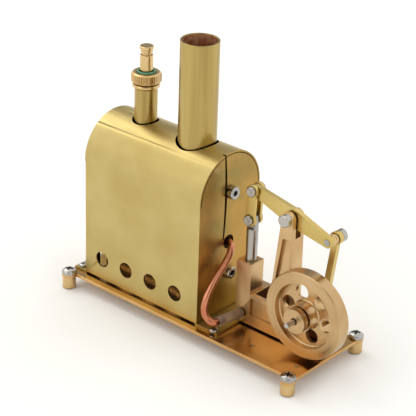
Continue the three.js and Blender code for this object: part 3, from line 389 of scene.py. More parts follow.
    @classmethod
    def soften(
        cls,
        piece: bpy.types.Object,
        width: float,
        segments: int = 2,
        sharp: float = 35.0,
        split: bool = False,
    ) -> bpy.types.Object:
        """Breaks the sharp edges with a small bevel and shades the rest smooth.

        Args:
            piece: The piece.
            width: Width of the bevel.
            segments: Rows of faces in the bevel.
            sharp: Edges sharper than this many degrees are bevelled.
            split: Whether its many-sided faces are split into triangles first.

        Returns:
            The same piece.
        """
        cls.alone(piece)
        bpy.ops.object.mode_set(mode="EDIT")
        bpy.ops.mesh.select_all(action="SELECT")
        bpy.ops.mesh.remove_doubles(threshold=MERGE)
        bpy.ops.mesh.dissolve_limited(angle_limit=math.radians(0.4))
        bpy.ops.object.mode_set(mode="OBJECT")
        if split:
            # A face that runs round several holes can fold over itself unless it is split.
            bpy.ops.object.modifier_add(type="TRIANGULATE")
            modifier = piece.modifiers[-1]
            modifier.min_vertices = 5
            bpy.ops.object.modifier_apply(modifier=modifier.name)
        bpy.ops.object.modifier_add(type="BEVEL")
        modifier = piece.modifiers[-1]
        modifier.width = width
        modifier.segments = segments
        modifier.limit_method = "ANGLE"
        modifier.angle_limit = math.radians(sharp)
        modifier.miter_outer = "MITER_ARC"
        bpy.ops.object.modifier_apply(modifier=modifier.name)
        bpy.ops.object.shade_smooth_by_angle(angle=math.radians(sharp))
        bpy.ops.object.modifier_add(type="WEIGHTED_NORMAL")
        modifier = piece.modifiers[-1]
        modifier.keep_sharp = True
        bpy.ops.object.modifier_apply(modifier=modifier.name)
        return piece

    @classmethod
    def swept(cls, name: str, points: list[Vector], radius: float) -> bpy.types.Object:
        """Bends a round rod or pipe along a smooth line.

        Args:
            name: Name of the new piece.
            points: Points that the line passes through.
            radius: Radius of the rod.

        Returns:
            The new piece, as a mesh with open ends filled.
        """
        bpy.ops.object.select_all(action="DESELECT")
        bpy.ops.curve.primitive_bezier_curve_add(location=(0, 0, 0))
        line = bpy.context.active_object
        line.name = name
        spline = line.data.splines[0]
        spline.bezier_points.add(len(points) - len(spline.bezier_points))
        for knot, point in zip(spline.bezier_points, points):
            knot.co = point
            knot.handle_left_type = "AUTO"
            knot.handle_right_type = "AUTO"
        spline.resolution_u = 10
        line.data.bevel_depth = radius
        line.data.bevel_resolution = 8
        line.data.use_fill_caps = True
        cls.alone(line)
        bpy.ops.object.convert(target="MESH")
        piece = bpy.context.active_object
        bpy.ops.object.shade_smooth_by_angle(angle=math.radians(40))
        return piece

    @classmethod
    def seat(
        cls,
        piece: bpy.types.Object,
        body: str,
        finish: "Finish",
        *nodes: str,
    ) -> bpy.types.Object:
        """Finishes a piece: metres, material, body and the CAD nodes that it stands for.

        Args:
            piece: The modelled piece.
            body: The body that it rides on.
            finish: Its finish.
            nodes: The CAD nodes that it replaces.

        Returns:
            The seated piece.
        """
        cls.place(piece, Matrix.Scale(MM, 4))
        if not piece.data.materials:
            piece.data.materials.append(finish.material())
        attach(piece, body)
        if nodes:
            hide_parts(*nodes)
        LOG.info("%s: %d faces on %s", piece.name, len(piece.data.polygons), body)
        return piece


# ------------------------------------------------------------------ finishes


class Grain(Enum):
    """How the surface was made, which sets the pattern of its bump and gloss."""

    ROLLED = "rolled"
    TURNED = "turned"
    FACED = "faced"
    BLASTED = "blasted"
    DRAWN = "drawn"
    MOULDED = "moulded"
    WOVEN = "woven"


def linear(code: str) -> tuple[float, float, float, float]:
    """Turns an sRGB hex colour to linear values.

    Args:
        code: Six hex digits after a hash.

    Returns:
        Red, green, blue and alpha.
    """
    values = [int(code[i : i + 2], 16) / 255 for i in (1, 3, 5)]
    red, green, blue = [v / 12.92 if v <= 0.04045 else ((v + 0.055) / 1.055) ** 2.4 for v in values]
    return red, green, blue, 1.0


def add_node(
    tree: bpy.types.NodeTree,
    kind: str,
    settings: dict[str, object] | None = None,
    inputs: dict[str | int, object] | None = None,
) -> bpy.types.Node:
    """Adds a node with its settings and links.

    Args:
        tree: The node tree.
        kind: Type of the node.
        settings: Attributes to set on it.
        inputs: Value or output socket for each input.

    Returns:
        The new node.
    """
    node = tree.nodes.new(kind)
    for key, value in (settings or {}).items():
        setattr(node, key, value)
    for key, value in (inputs or {}).items():
        if isinstance(value, bpy.types.NodeSocket):
            tree.links.new(value, node.inputs[key])
        else:
            node.inputs[key].default_value = value
    return node


@dataclass(frozen=True)
class Finish:
    """One material: what it is, how its surface was made, and what that gives the eye."""

    name: str
    slot: str
    colour: str
    shade: str
    grain: Grain
    roughness: float
    metallic: float = 1.0
    gloss_spread: float = 0.1
    line_mm: float = 0.25
    bump_mm: float = 0.004
    wave_mm: float = 0.0
    # Colour that corners and creases are mixed towards: tarnish and painted shade.
    tarnish_and_painted_shade: str = ""
    centre: tuple[float, float, float] = (0.0, 0.0, 0.0)
    transmission: float = 0.0
    ior: float = 1.5
    cloud_mm: tuple[float, float, float] = (14.0, 14.0, 14.0)

    def stretch(self) -> tuple[float, float, float]:
        """Lines per metre along X, Y and Z for this grain."""
        fine = 1000 / self.line_mm
        if self.grain is Grain.ROLLED:
            return fine / 30, fine, fine
        if self.grain is Grain.TURNED:
            return fine / 25, fine / 25, fine
        if self.grain is Grain.DRAWN:
            return fine / 2, fine / 2, fine / 6
        return fine, fine, fine

    def material(self) -> bpy.types.Material:
        """Makes the material once and returns it after that.

        Returns:
            The node material.
        """
        known = bpy.data.materials.get(self.name)
        if known:
            return known
        material = bpy.data.materials.new(self.name)
        material.use_nodes = True
        tree = material.node_tree
        shader = tree.nodes["Principled BSDF"]
        place = add_node(tree, "ShaderNodeTexCoord").outputs["Object"]

        # Broad clouds of colour, as handled metal has; stretched into long streaks on a drawn tube, where
        # they are also painted reflection bands.
        spread = add_node(
            tree,
            "ShaderNodeMapping",
            inputs={"Vector": place, "Scale": tuple(1 / (size * MM) for size in self.cloud_mm)},
        )
        cloud = add_node(
            tree,
            "ShaderNodeTexNoise",
            inputs={"Vector": spread.outputs["Vector"], "Scale": 1.0, "Detail": 4.0, "Roughness": 0.5},
        )
        share = add_node(
            tree,
            "ShaderNodeMapRange",
            inputs={"Value": cloud.outputs["Fac"], "From Min": 0.35, "From Max": 0.65},
        )
        colour = add_node(
            tree,
            "ShaderNodeMix",
            {"data_type": "RGBA"},
            {"Factor": share.outputs["Result"], 6: linear(self.colour), 7: linear(self.shade)},
        ).outputs[2]

        grain = self._grain(tree, place)
        if self.tarnish_and_painted_shade:
            # Painted shade: where ambient occlusion finds corners and creases, the colour is mixed
            # towards a darker brown, which stands for the shade there as well as the polish and grime
            # they hold.
            shadow = add_node(
                tree, "ShaderNodeAmbientOcclusion", {"samples": 8}, {"Distance": 1.2 * MM}
            )
            depth = add_node(
                tree,
                "ShaderNodeMapRange",
                inputs={
                    "Value": shadow.outputs["AO"], "From Min": 0.25, "From Max": 0.85,
                    "To Min": 0.75, "To Max": 0.0,
                },
            )
            colour = add_node(
                tree,
                "ShaderNodeMix",
                {"data_type": "RGBA"},
                {"Factor": depth.outputs["Result"], 6: colour, 7: linear(self.tarnish_and_painted_shade)},
            ).outputs[2]
        tree.links.new(colour, shader.inputs["Base Color"])

        gloss = add_node(
            tree,
            "ShaderNodeMapRange",
            inputs={
                "Value": grain,
                "From Min": 0.3,
                "From Max": 0.7,
                "To Min": self.roughness - self.gloss_spread / 2,
                "To Max": self.roughness + self.gloss_spread / 2,
            },
        )
        tree.links.new(gloss.outputs["Result"], shader.inputs["Roughness"])
        bump = add_node(
            tree,
            "ShaderNodeBump",
            inputs={"Height": grain, "Distance": self.bump_mm * MM, "Strength": 1.0},
        )
        if self.wave_mm:
            # Thin sheet is never quite flat, so its reflections wander.
            swell = add_node(
                tree,
                "ShaderNodeTexNoise",
                inputs={"Vector": place, "Scale": 1000 / 17, "Detail": 1.0, "Roughness": 0.4},
            )
            bump = add_node(
                tree,
                "ShaderNodeBump",
                inputs={
                    "Height": swell.outputs["Fac"],
                    "Distance": self.wave_mm * MM,
                    "Strength": 1.0,
                    "Normal": bump.outputs["Normal"],
                },
            )
        tree.links.new(bump.outputs["Normal"], shader.inputs["Normal"])
        shader.inputs["Metallic"].default_value = self.metallic
        if self.transmission:
            shader.inputs["Transmission Weight"].default_value = self.transmission
        if not self.metallic:
            shader.inputs["IOR"].default_value = self.ior
        return material

    def _grain(self, tree: bpy.types.NodeTree, place: bpy.types.NodeSocket) -> bpy.types.NodeSocket:
        """Adds the fine pattern of the surface.

        Args:
            tree: The node tree.
            place: Object coordinates.

        Returns:
            The socket with the pattern, from 0 to 1.
        """
        if self.grain is Grain.FACED:
            # Rings that a facing tool leaves, centred on the wheel's own axis.
            centred = add_node(
                tree,
                "ShaderNodeMapping",
                inputs={"Vector": place, "Location": tuple(-c * MM for c in self.centre)},
            )
            rings = add_node(
                tree,
                "ShaderNodeTexWave",
                {"wave_type": "RINGS", "rings_direction": "Y", "wave_profile": "SIN"},
                {
                    "Vector": centred.outputs["Vector"],
                    "Scale": 50 / self.line_mm,
                    "Distortion": 1.2,
                    "Detail": 2.0,
                },
            )
            return rings.outputs["Fac"]
        if self.grain is Grain.WOVEN:
            threads = add_node(
                tree,
                "ShaderNodeTexWave",
                {"wave_type": "BANDS", "bands_direction": "DIAGONAL"},
                {"Vector": place, "Scale": 50 / self.line_mm, "Distortion": 2.0},
            )
            return threads.outputs["Fac"]
        stretched = add_node(
            tree, "ShaderNodeMapping", inputs={"Vector": place, "Scale": self.stretch()}
        )
        speckle = add_node(
            tree,
            "ShaderNodeTexNoise",
            inputs={"Vector": stretched.outputs["Vector"], "Scale": 1.0, "Detail": 3.0},
        )
        return speckle.outputs["Fac"]


# Cartridge brass sheet, rolled then brushed to a satin: greenish yellow with soft long lines.
SATIN_BRASS = Finish(
    "satin_brass_sheet", "satin_brass", "#C8B478", "#BCA668", Grain.ROLLED, 0.4,
    gloss_spread=0.12, line_mm=0.3, bump_mm=0.003, wave_mm=0.05, tarnish_and_painted_shade="#6E5424",
)
# The same sheet on the ends, painted darker as painted shade and a painted dark reflection: golden brown
# to olive.
SHADED_END_BRASS = Finish(
    "shaded_end_brass_sheet", "satin_brass", "#C0954E", "#948048", Grain.ROLLED, 0.34,
    gloss_spread=0.14, line_mm=0.3, bump_mm=0.003, wave_mm=0.05, tarnish_and_painted_shade="#4E3014",
)
# Dark brass behind the sheet, painted shade: keeps the slit and the pipe hole dark.
PAINTED_SHADE_BRASS = Finish(
    "painted_shade_brass", "satin_brass", "#4A2E20", "#2E1A12", Grain.BLASTED, 0.6,
    gloss_spread=0.2, line_mm=0.6, bump_mm=0.01,
)
# Drawn brass tube, satin, with rings of fine scratches from its polishing cloth. Its long light and dark
# colour streaks are painted reflection bands as well as tone.
TUBE_BRASS = Finish(
    "drawn_brass_tube", "satin_brass", "#BCA566", "#9A8048", Grain.TURNED, 0.24,
    gloss_spread=0.06, line_mm=0.3, bump_mm=0.0004, wave_mm=0.01, tarnish_and_painted_shade="#6E5424",
    cloud_mm=(4.0, 4.0, 120.0),
)
# Red brass plate under lacquer: warm orange, almost a mirror.
PLATE_BRASS = Finish(
    "lacquered_brass_plate", "polished_brass", "#DDB57A", "#CBA066", Grain.ROLLED, 0.22,
    gloss_spread=0.08, line_mm=0.35, bump_mm=0.002, wave_mm=0.03, tarnish_and_painted_shade="#5A3410",
)
# Free-cutting brass bar, turned: bright rings from the tool.
TURNED_BRASS = Finish(
    "turned_brass_bar", "turned_brass", "#DCC090", "#D0AF76", Grain.TURNED, 0.24,
    gloss_spread=0.14, line_mm=0.18, bump_mm=0.004, tarnish_and_painted_shade="#6A4418",
)
# Flat brass bar, milled and tumbled: pale yellow with a soft gloss.
MILLED_BRASS = Finish(
    "tumbled_brass_bar", "satin_brass", "#D4BD78", "#C6AC66", Grain.BLASTED, 0.3,
    gloss_spread=0.12, line_mm=0.3, bump_mm=0.002, tarnish_and_painted_shade="#6E4F20",
)
# Cast bronze, machined: pinkish tan with a fine matt grain.
BRONZE = Finish(
    "machined_bronze_casting", "bronze", "#D6B68A", "#C8A474", Grain.BLASTED, 0.33,
    gloss_spread=0.12, line_mm=0.28, bump_mm=0.004, tarnish_and_painted_shade="#6E3F20",
)
# Annealed copper tube: salmon, bright where it was bent and rubbed.
COPPER = Finish(
    "annealed_copper_tube", "copper", "#CC8C6C", "#BA7252", Grain.DRAWN, 0.2,
    gloss_spread=0.1, line_mm=0.5, bump_mm=0.001, wave_mm=0.02, tarnish_and_painted_shade="#5E2A18",
)
# Copper that has been hot: dull red brown oxide in the flue.
HOT_COPPER = Finish(
    "flue_oxide", "copper", "#F0CCA8", "#C88A66", Grain.BLASTED, 0.45,
    gloss_spread=0.2, line_mm=0.8, bump_mm=0.01, cloud_mm=(2.0, 2.0, 2.0),
)
# Silver steel, ground: neutral grey with a soft streak.
STEEL = Finish(
    "ground_steel", "steel", "#BAB6B0", "#A6A29C", Grain.TURNED, 0.25,
    gloss_spread=0.08, line_mm=0.15, bump_mm=0.0005, tarnish_and_painted_shade="#3A3632",
)
# Plated screws: near mirror, cool white.
CHROME = Finish(
    "bright_plated_screws", "chrome_screws", "#B8B6B2", "#A2A09C", Grain.BLASTED, 0.12,
    gloss_spread=0.06, line_mm=0.5, bump_mm=0.001, tarnish_and_painted_shade="#2C2A28",
)
# Silicone tube: milky, slightly pink from the copper inside it.
SILICONE = Finish(
    "silicone_rubber", "silicone", "#FFFAF4", "#FFF4EA", Grain.MOULDED, 0.3,
    metallic=0.0, gloss_spread=0.06, line_mm=0.8, bump_mm=0.002, transmission=0.95, ior=1.41,
)
# Fluorocarbon seal ring: dark green, matt and slightly soft.
SEAL = Finish(
    "seal_rubber", "seal_rubber", "#062412", "#041A0C", Grain.MOULDED, 0.45,
    metallic=0.0, gloss_spread=0.1, line_mm=0.4, bump_mm=0.003, ior=1.4,
)
# Braided cotton wick.
COTTON = Finish(
    "braided_cotton", "cotton_wick", "#ECE6D8", "#DAD2C0", Grain.WOVEN, 0.92,
    metallic=0.0, gloss_spread=0.05, line_mm=0.4, bump_mm=0.05, ior=1.5,
)


# ------------------------------------------------------------------ fasteners


@dataclass(frozen=True)
class PanScrew:
    """A domed screw with a cross recess, drawn with its head standing on height 0."""

    head: float
    height: float
    shank: float
    length: float

    def build(self, name: str) -> bpy.types.Object:
        """Turns the screw and presses its cross recess.

        Args:
            name: Name of the piece.

        Returns:
            The screw on the Z axis.
        """
        wall = self.height * 0.35
        profile = [
            (0.0, -self.length), (self.shank, -self.length), (self.shank, 0.0), (self.head, 0.0),
            (self.head, wall),
        ]
        for step in range(1, 9):
            angle = math.radians(90 * step / 9)
            profile.append((self.head * math.cos(angle), wall + (self.height - wall) * math.sin(angle)))
        profile.append((0.0, self.height))
        screw = Bench.turned(name, profile, steps=48)
        arm, half, floor = self.head * 0.52, self.head * 0.115, self.height * 0.4
        for reach, width in ((arm, half), (half, arm)):
            slot = Bench.block(
                "cross", Vector((-reach, -width, floor)), Vector((reach, width, self.height + 1)),
            )
            screw = Bench.mix(screw, slot, Mix.CUT)
        return Bench.soften(screw, 0.06, 2, 40)


@dataclass(frozen=True)
class CapScrew:
    """A cylinder-head screw with a hexagon socket, drawn with its head standing on height 0."""

    head: float
    height: float
    shank: float
    length: float

    def build(self, name: str) -> bpy.types.Object:
        """Turns the screw, then presses its socket and dishes the socket's mouth.

        Args:
            name: Name of the piece.

        Returns:
            The screw on the Z axis.
        """
        break_ = 0.22
        profile = [
            (0.0, -self.length), (self.shank, -self.length), (self.shank, 0.0), (self.head, 0.0),
            (self.head, self.height - break_), (self.head - break_, self.height), (0.0, self.height),
        ]
        screw = Bench.turned(name, profile, steps=48)
        across = self.head * 0.48
        hexagon = arc((0.0, 0.0), across, 0, 300, 5)
        socket = Bench.blank("socket", hexagon, Axis.Z, self.height * 0.42, self.height + 1)
        screw = Bench.mix(screw, socket, Mix.CUT)
        mouth = Bench.turned(
            "mouth",
            [
                (0.0, self.height - 0.25), (across * 0.8, self.height - 0.25),
                (across + 0.25, self.height + 0.1), (0.0, self.height + 0.1),
            ],
        )
        return Bench.soften(Bench.mix(screw, mouth, Mix.CUT), 0.05, 2, 40)


def headed_pin(name: str, half: float, shank: float, head: float, rim: float) -> bpy.types.Object:
    """Turns a pin with a domed, slightly dished head at both ends, along Z.

    Args:
        name: Name of the piece.
        half: Half the length over the heads.
        shank: Radius between the heads.
        head: Radius of the heads.
        rim: Thickness of a head.

    Returns:
        The pin, centred on the origin.
    """
    upper = [
        (shank, 0.0), (shank, half - rim), (head, half - rim), (head, half - 0.22),
        (head - 0.22, half), (head * 0.35, half - 0.03), (0.0, half - 0.06),
    ]
    lower = [(radius, -height) for radius, height in reversed(upper)]
    return Bench.soften(Bench.turned(name, lower + upper[1:], steps=48), 0.05, 2, 40)


# ------------------------------------------------------------------ base plate


@dataclass
class BasePlate:
    """The sheet that carries everything, with a foot and a screw at each corner."""

    length: float = 87.6
    width: float = 29.0
    ear: float = 2.2
    spare_hole: float = 0.65
    spare_offsets: tuple[float, float] = (24.4, 40.1)
    spare_y: float = -8.9
    bed_screw_hole: float = 1.0
    foot_bore_depth: float = 2.6
    cross_turn: float = 25.0
    screw: PanScrew = PanScrew(2.25, 1.6, 1.2, 3.4)

    def build(self) -> None:
        """Builds the plate, its feet and their screws."""
        ends = ("front_left", "front_right", "back_left", "back_right")
        feet = {end: Space.of(f"foot_{end}") for end in ends}
        self.build_plate(feet)
        for end, space in feet.items():
            self.build_foot(end, space)

    def build_plate(self, feet: dict[str, Space]) -> None:
        """Cuts the plate with its round ears and drills it.

        Args:
            feet: The rooms of the feet, by corner.
        """
        room = Space.of("base_plate")
        middle = room.middle
        half_x, half_y = self.length / 2, self.width / 2
        outline: list[Point] = []
        corners = (
            ("back_right", 1, 1), ("back_left", -1, 1), ("front_left", -1, -1),
            ("front_right", 1, -1),
        )
        for end, sign_x, sign_y in corners:
            centre = feet[end].middle
            gap_x = half_x - abs(centre.x - middle.x)
            gap_y = half_y - abs(centre.y)
            first = math.degrees(math.asin(-math.sqrt(self.ear**2 - gap_x**2) / self.ear))
            last = 180 + math.degrees(math.asin(-gap_y / self.ear))
            if sign_x * sign_y > 0:
                swing = arc((0, 0), self.ear, first, last, 32)
            else:
                swing = list(reversed(arc((0, 0), self.ear, first, last, 32)))
            outline += [(centre.x + sign_x * u, centre.y + sign_y * v) for u, v in swing]
        plate = Bench.blank("base_plate_sheet", outline, Axis.Z, room.low.z, room.high.z)
        span = (room.low.z - 1, room.high.z + 1)
        for offset in self.spare_offsets:
            spot = (middle.x + offset, self.spare_y)
            plate = Bench.drill(plate, self.spare_hole, Axis.Z, spot, span, 32)
        for space in feet.values():
            plate = Bench.drill(
                plate, self.screw.shank + 0.05, Axis.Z, (space.middle.x, space.middle.y), span, 32,
            )
        for node in ("bed_screw_1", "bed_screw_2"):
            spot = Space.of(node).middle
            plate = Bench.drill(plate, self.bed_screw_hole, Axis.Z, (spot.x, spot.y), span, 32)
        Bench.soften(plate, 0.1, 2, 50)
        Bench.seat(plate, "frame", PLATE_BRASS, "base_plate")

    def build_foot(self, end: str, room: Space) -> None:
        """Turns one foot, with the slight waist of a bar stop, and its screw.

        Args:
            end: Corner of the plate.
            room: Room of the foot.
        """
        radius, height = room.size.x / 2, room.size.z
        bore, floor = self.screw.shank + 0.05, height - self.foot_bore_depth
        profile = [
            (0.0, 0.0), (radius - 0.3, 0.0), (radius - 0.05, 0.2), (radius, 0.45),
            (radius, height - 0.35), (radius - 0.12, height), (bore, height), (bore, floor), (0.0, floor),
        ]
        foot = Bench.turned(
            f"foot_{end}_turned", profile, Axis.Z, Vector((room.middle.x, room.middle.y, 0)), 56,
        )
        Bench.soften(foot, 0.06, 2, 40)
        Bench.seat(foot, "frame", TURNED_BRASS, f"foot_{end}")
        top = Space.of("base_plate").high.z
        screw = self.screw.build(f"foot_{end}_pan_screw")
        turn = Matrix.Rotation(math.radians(self.cross_turn), 4, "Z")
        Bench.place(screw, Matrix.Translation((room.middle.x, room.middle.y, top)) @ turn)
        Bench.seat(screw, "frame", CHROME, f"foot_screw_{end}")


# ------------------------------------------------------------------ boiler casing


@dataclass
class Casing:
    """The folded sheet round the boiler, its two brackets and its screws."""

    sheet: float = 0.5
    fold: float = 0.35
    gap: float = 0.25
    gap_drop: float = 0.3
    side_height: float = 36.8
    air_hole: float = 2.45
    air_pitch: float = 9.68
    air_first: float = 7.1
    air_height: float = 6.5
    pipe_hole: float = 2.15
    flue_room: float = 0.6
    pipe: float = 1.0
    screw_hole: float = 1.0
    slit_foot_y: float = -1.4
    slit_top_y: float = -1.7
    slit_bow: float = 0.7
    slit_half: float = 0.275
    slit_swell: float = 0.2
    door_width: float = 16.4
    door_top: float = 9.6
    bracket_wall: float = 1.2
    bracket_foot: float = 0.6
    bracket_half: float = 11.5
    bracket_shoulder: float = 35.0
    bracket_top_half: float = 6.0
    bracket_pipe_hole: float = 1.3
    corner_cut: float = 3.2
    room: Space = field(init=False)
    middle_y: float = field(init=False)
    radius: float = field(init=False)
    spring: float = field(init=False)
    socket_screw: CapScrew = CapScrew(1.9, 2.0, 0.95, 3.0)
    foot_screw: PanScrew = PanScrew(1.3, 0.9, 0.78, 2.2)

    def build(self) -> None:
        """Builds the sheet, the brackets and the screws."""
        self.room = Space.of("boiler_casing")
        self.middle_y = self.room.middle.y
        self.radius = self.room.size.y / 2
        self.spring = self.room.low.z + self.side_height
        sheet = self.fold_sheet()
        sheet = self.pierce(sheet)
        Bench.soften(sheet, 0.09, 2, 40, split=True)
        self.dress(sheet)
        Bench.seat(sheet, "frame", SATIN_BRASS, "boiler_casing")
        self.build_bracket("engine", Space.of("bracket_engine_end"))
        self.build_bracket("burner", Space.of("bracket_burner_end"))
        self.build_screws()

    def arch(self, inset: float, bottom: float) -> list[Point]:
        """Outline of the casing's end, with an arched top.

        Args:
            inset: How far the outline lies inside the outer surface.
            bottom: Height of its lower edge.

        Returns:
            The outline in Y and Z.
        """
        radius = self.radius - inset
        top = arc((self.middle_y, self.spring), radius, 0, 180, 72)
        return [(self.middle_y - radius, bottom), (self.middle_y + radius, bottom)] + top

    def plan(self, inset: float) -> list[Point]:
        """Outline of the folded sides, seen from above, with a bend at each corner.

        Args:
            inset: How far the outline lies inside the outer surface.

        Returns:
            The outline in X and Y.
        """
        bend = max(self.fold - inset, 0.05)
        low, high = self.room.low, self.room.high
        edge = inset + bend
        x0, x1, y0, y1 = low.x + edge, high.x - edge, low.y + edge, high.y - edge
        corners = ((x1, y1, 0), (x0, y1, 90), (x0, y0, 180), (x1, y0, 270))
        outline: list[Point] = []
        for x, y, start in corners:
            outline += arc((x, y), bend, start, start + 90, 10)
        return outline

    def fold_sheet(self) -> bpy.types.Object:
        """Folds the sides and ends below the arch and joins the arch and the end tops.

        Returns:
            The sheet before it is pierced.
        """
        low, high = self.room.low, self.room.high
        seam = self.spring - self.gap_drop
        sheet = Bench.blank("casing_sheet", self.plan(0.0), Axis.Z, low.z, seam)
        hollow = Bench.blank("hollow", self.plan(self.sheet), Axis.Z, low.z - 1, seam + 1)
        sheet = Bench.mix(sheet, hollow, Mix.CUT)
        wrapper = Bench.blank("wrapper", self.arch(0.0, seam - 0.02), Axis.X, low.x, high.x)
        inside = Bench.blank("inside", self.arch(self.sheet, seam - 1), Axis.X, low.x - 1, high.x + 1)
        sheet = Bench.mix(sheet, Bench.mix(wrapper, inside, Mix.CUT), Mix.ADD)
        for x0, x1 in ((low.x, low.x + self.sheet), (high.x - self.sheet, high.x)):
            top = Bench.blank("end_top", self.arch(self.sheet + self.gap, seam - 0.02), Axis.X, x0, x1)
            sheet = Bench.mix(sheet, top, Mix.ADD)
        return sheet

    def pierce(self, sheet: bpy.types.Object) -> bpy.types.Object:
        """Punches the air holes, the flue and filler holes, the pipe hole, the slit and the door.

        Args:
            sheet: The folded sheet.

        Returns:
            The pierced sheet.
        """
        low, high = self.room.low, self.room.high
        across = (low.y - 1, high.y + 1)
        for hole in range(4):
            spot = (low.x + self.air_first + hole * self.air_pitch, low.z + self.air_height)
            sheet = Bench.drill(sheet, self.air_hole, Axis.Y, spot, across, 64)
        for node in ("chimney", "filler_neck"):
            room = Space.of(node)
            radius = room.size.x / 2 + self.flue_room
            spot = (room.middle.x, room.middle.y)
            sheet = Bench.drill(sheet, radius, Axis.Z, spot, (self.spring, high.z + 1), 64)
        exit_z = self.pipe_exit()
        near_end = (high.x - 1.5, high.x + 1)
        sheet = Bench.drill(sheet, self.pipe_hole, Axis.X, (self.middle_y, exit_z), near_end, 56)
        slit = Bench.blank("slit", self.slit(exit_z), Axis.X, high.x - 1.0, high.x + 1)
        sheet = Bench.mix(sheet, slit, Mix.CUT)
        for end in ("lower", "upper"):
            spot = Space.of(f"casing_screw_engine_{end}").middle
            ends = (low.x - 1, high.x + 1)
            sheet = Bench.drill(sheet, self.screw_hole, Axis.X, (spot.y, spot.z), ends, 32)
        half = self.door_width / 2
        door = Bench.block(
            "door",
            Vector((low.x - 1, self.middle_y - half, low.z - 1)),
            Vector((low.x + 1, self.middle_y + half, low.z + self.door_top)),
        )
        return Bench.mix(sheet, door, Mix.CUT)

    def pipe_exit(self) -> float:
        """Height at which the steam pipe leaves the casing."""
        return Space.of("steam_pipe").high.z - self.pipe

    def slit(self, exit_z: float) -> list[Point]:
        """Outline of the bowed slit from the top of the arch to the pipe hole.

        Args:
            exit_z: Height of the pipe hole.

        Returns:
            The outline in Y and Z.
        """
        top, bottom = self.spring + self.radius, exit_z + self.pipe_hole * 0.6
        left: list[Point] = []
        right: list[Point] = []
        for step in range(13):
            share = step / 12
            bow = 4 * share * (1 - share)
            line = self.slit_foot_y * (1 - share) + self.slit_top_y * share + self.slit_bow * bow
            half = self.slit_half + self.slit_swell * bow
            height = bottom + (top - bottom) * share
            left.append((line - half, height))
            right.append((line + half, height))
        return right + left[::-1]

    def dress(self, sheet: bpy.types.Object) -> None:
        """Gives the ends a darker copy of the finish and the inside a dark finish, both painted shade.

        Args:
            sheet: The pierced sheet.
        """
        for finish in (SATIN_BRASS, SHADED_END_BRASS, PAINTED_SHADE_BRASS):
            sheet.data.materials.append(finish.material())
        low, high = self.room.low, self.room.high
        skin = self.sheet * 0.6
        for face in sheet.data.polygons:
            x, y, z = face.center
            across = math.hypot(y - self.middle_y, max(z - self.spring, 0))
            # Faces inside the sheet take the dark brass: painted shade that keeps the slit and the pipe
            # hole dark.
            if low.x + skin < x < high.x - skin and across < self.radius - skin:
                face.material_index = 2
            # Faces that look along X, the two ends, take the darker copy: painted shade.
            elif abs(face.normal.x) > 0.9:
                face.material_index = 1

    def build_bracket(self, end: str, room: Space) -> None:
        """Bends one bracket: a wall behind the casing's end and a foot under it.

        Args:
            end: Which end it stands at.
            room: Room of the bracket.
        """
        wall, foot = self.bracket_wall, self.bracket_foot
        half, shoulder, top_half = self.bracket_half, self.bracket_shoulder, self.bracket_top_half
        y, z = self.middle_y, room.low.z
        outline = [
            (y - half, z), (y + half, z), (y + half, z + shoulder), (y + top_half, room.high.z),
            (y - top_half, room.high.z), (y - half, z + shoulder),
        ]
        near = end == "engine"
        x0, x1 = (room.low.x, room.low.x + wall) if near else (room.high.x - wall, room.high.x)
        foot_x0, foot_x1 = (x1 - 0.02, room.high.x) if near else (room.low.x, x0 + 0.02)
        bracket = Bench.blank(f"bracket_{end}_sheet", outline, Axis.X, x0, x1)
        ledge = Bench.block(
            "ledge", Vector((foot_x0, room.low.y, z)), Vector((foot_x1, room.high.y, z + foot)),
        )
        bracket = Bench.mix(bracket, ledge, Mix.ADD)
        if near:
            span = (x0 - 1, x1 + 1)
            centre = (y, self.pipe_exit())
            bracket = Bench.drill(bracket, self.bracket_pipe_hole, Axis.X, centre, span, 32)
        else:
            door = Bench.block(
                "door",
                Vector((x0 - 0.01, y - self.door_width / 2, z + foot)),
                Vector((x1 + 1, y + self.door_width / 2, self.room.low.z + self.door_top)),
            )
            bracket = Bench.mix(bracket, door, Mix.CUT)
            cut = self.corner_cut
            corner = [
                (room.low.x - 2, room.high.y - cut - 2), (room.low.x + cut + 2, room.high.y + 2),
                (room.low.x - 2, room.high.y + 2),
            ]
            bracket = Bench.mix(bracket, Bench.blank("corner", corner, Axis.Z, z - 1, z + 2), Mix.CUT)
        for level in ("lower", "upper"):
            spot = Space.of(f"casing_screw_{end}_{level}").middle
            bracket = Bench.drill(bracket, 1.0, Axis.X, (spot.y, spot.z), (x0 - 1, x1 + 1), 24)
        for side in ("front", "back"):
            spot = Space.of(f"bracket_screw_{end}_{side}").middle
            bracket = Bench.drill(bracket, 0.83, Axis.Z, (spot.x, spot.y), (z - 1, z + 2), 24)
        Bench.soften(bracket, 0.08, 2, 40, split=True)
        # The wall's faces above the foot take the dark brass: painted shade behind the slit.
        for finish in (SATIN_BRASS, PAINTED_SHADE_BRASS):
            bracket.data.materials.append(finish.material())
        for face in bracket.data.polygons:
            face.material_index = int(abs(face.normal.x) > 0.9 and face.center.z > z + 1.5)
        Bench.seat(bracket, "frame", SATIN_BRASS, f"bracket_{end}_end")

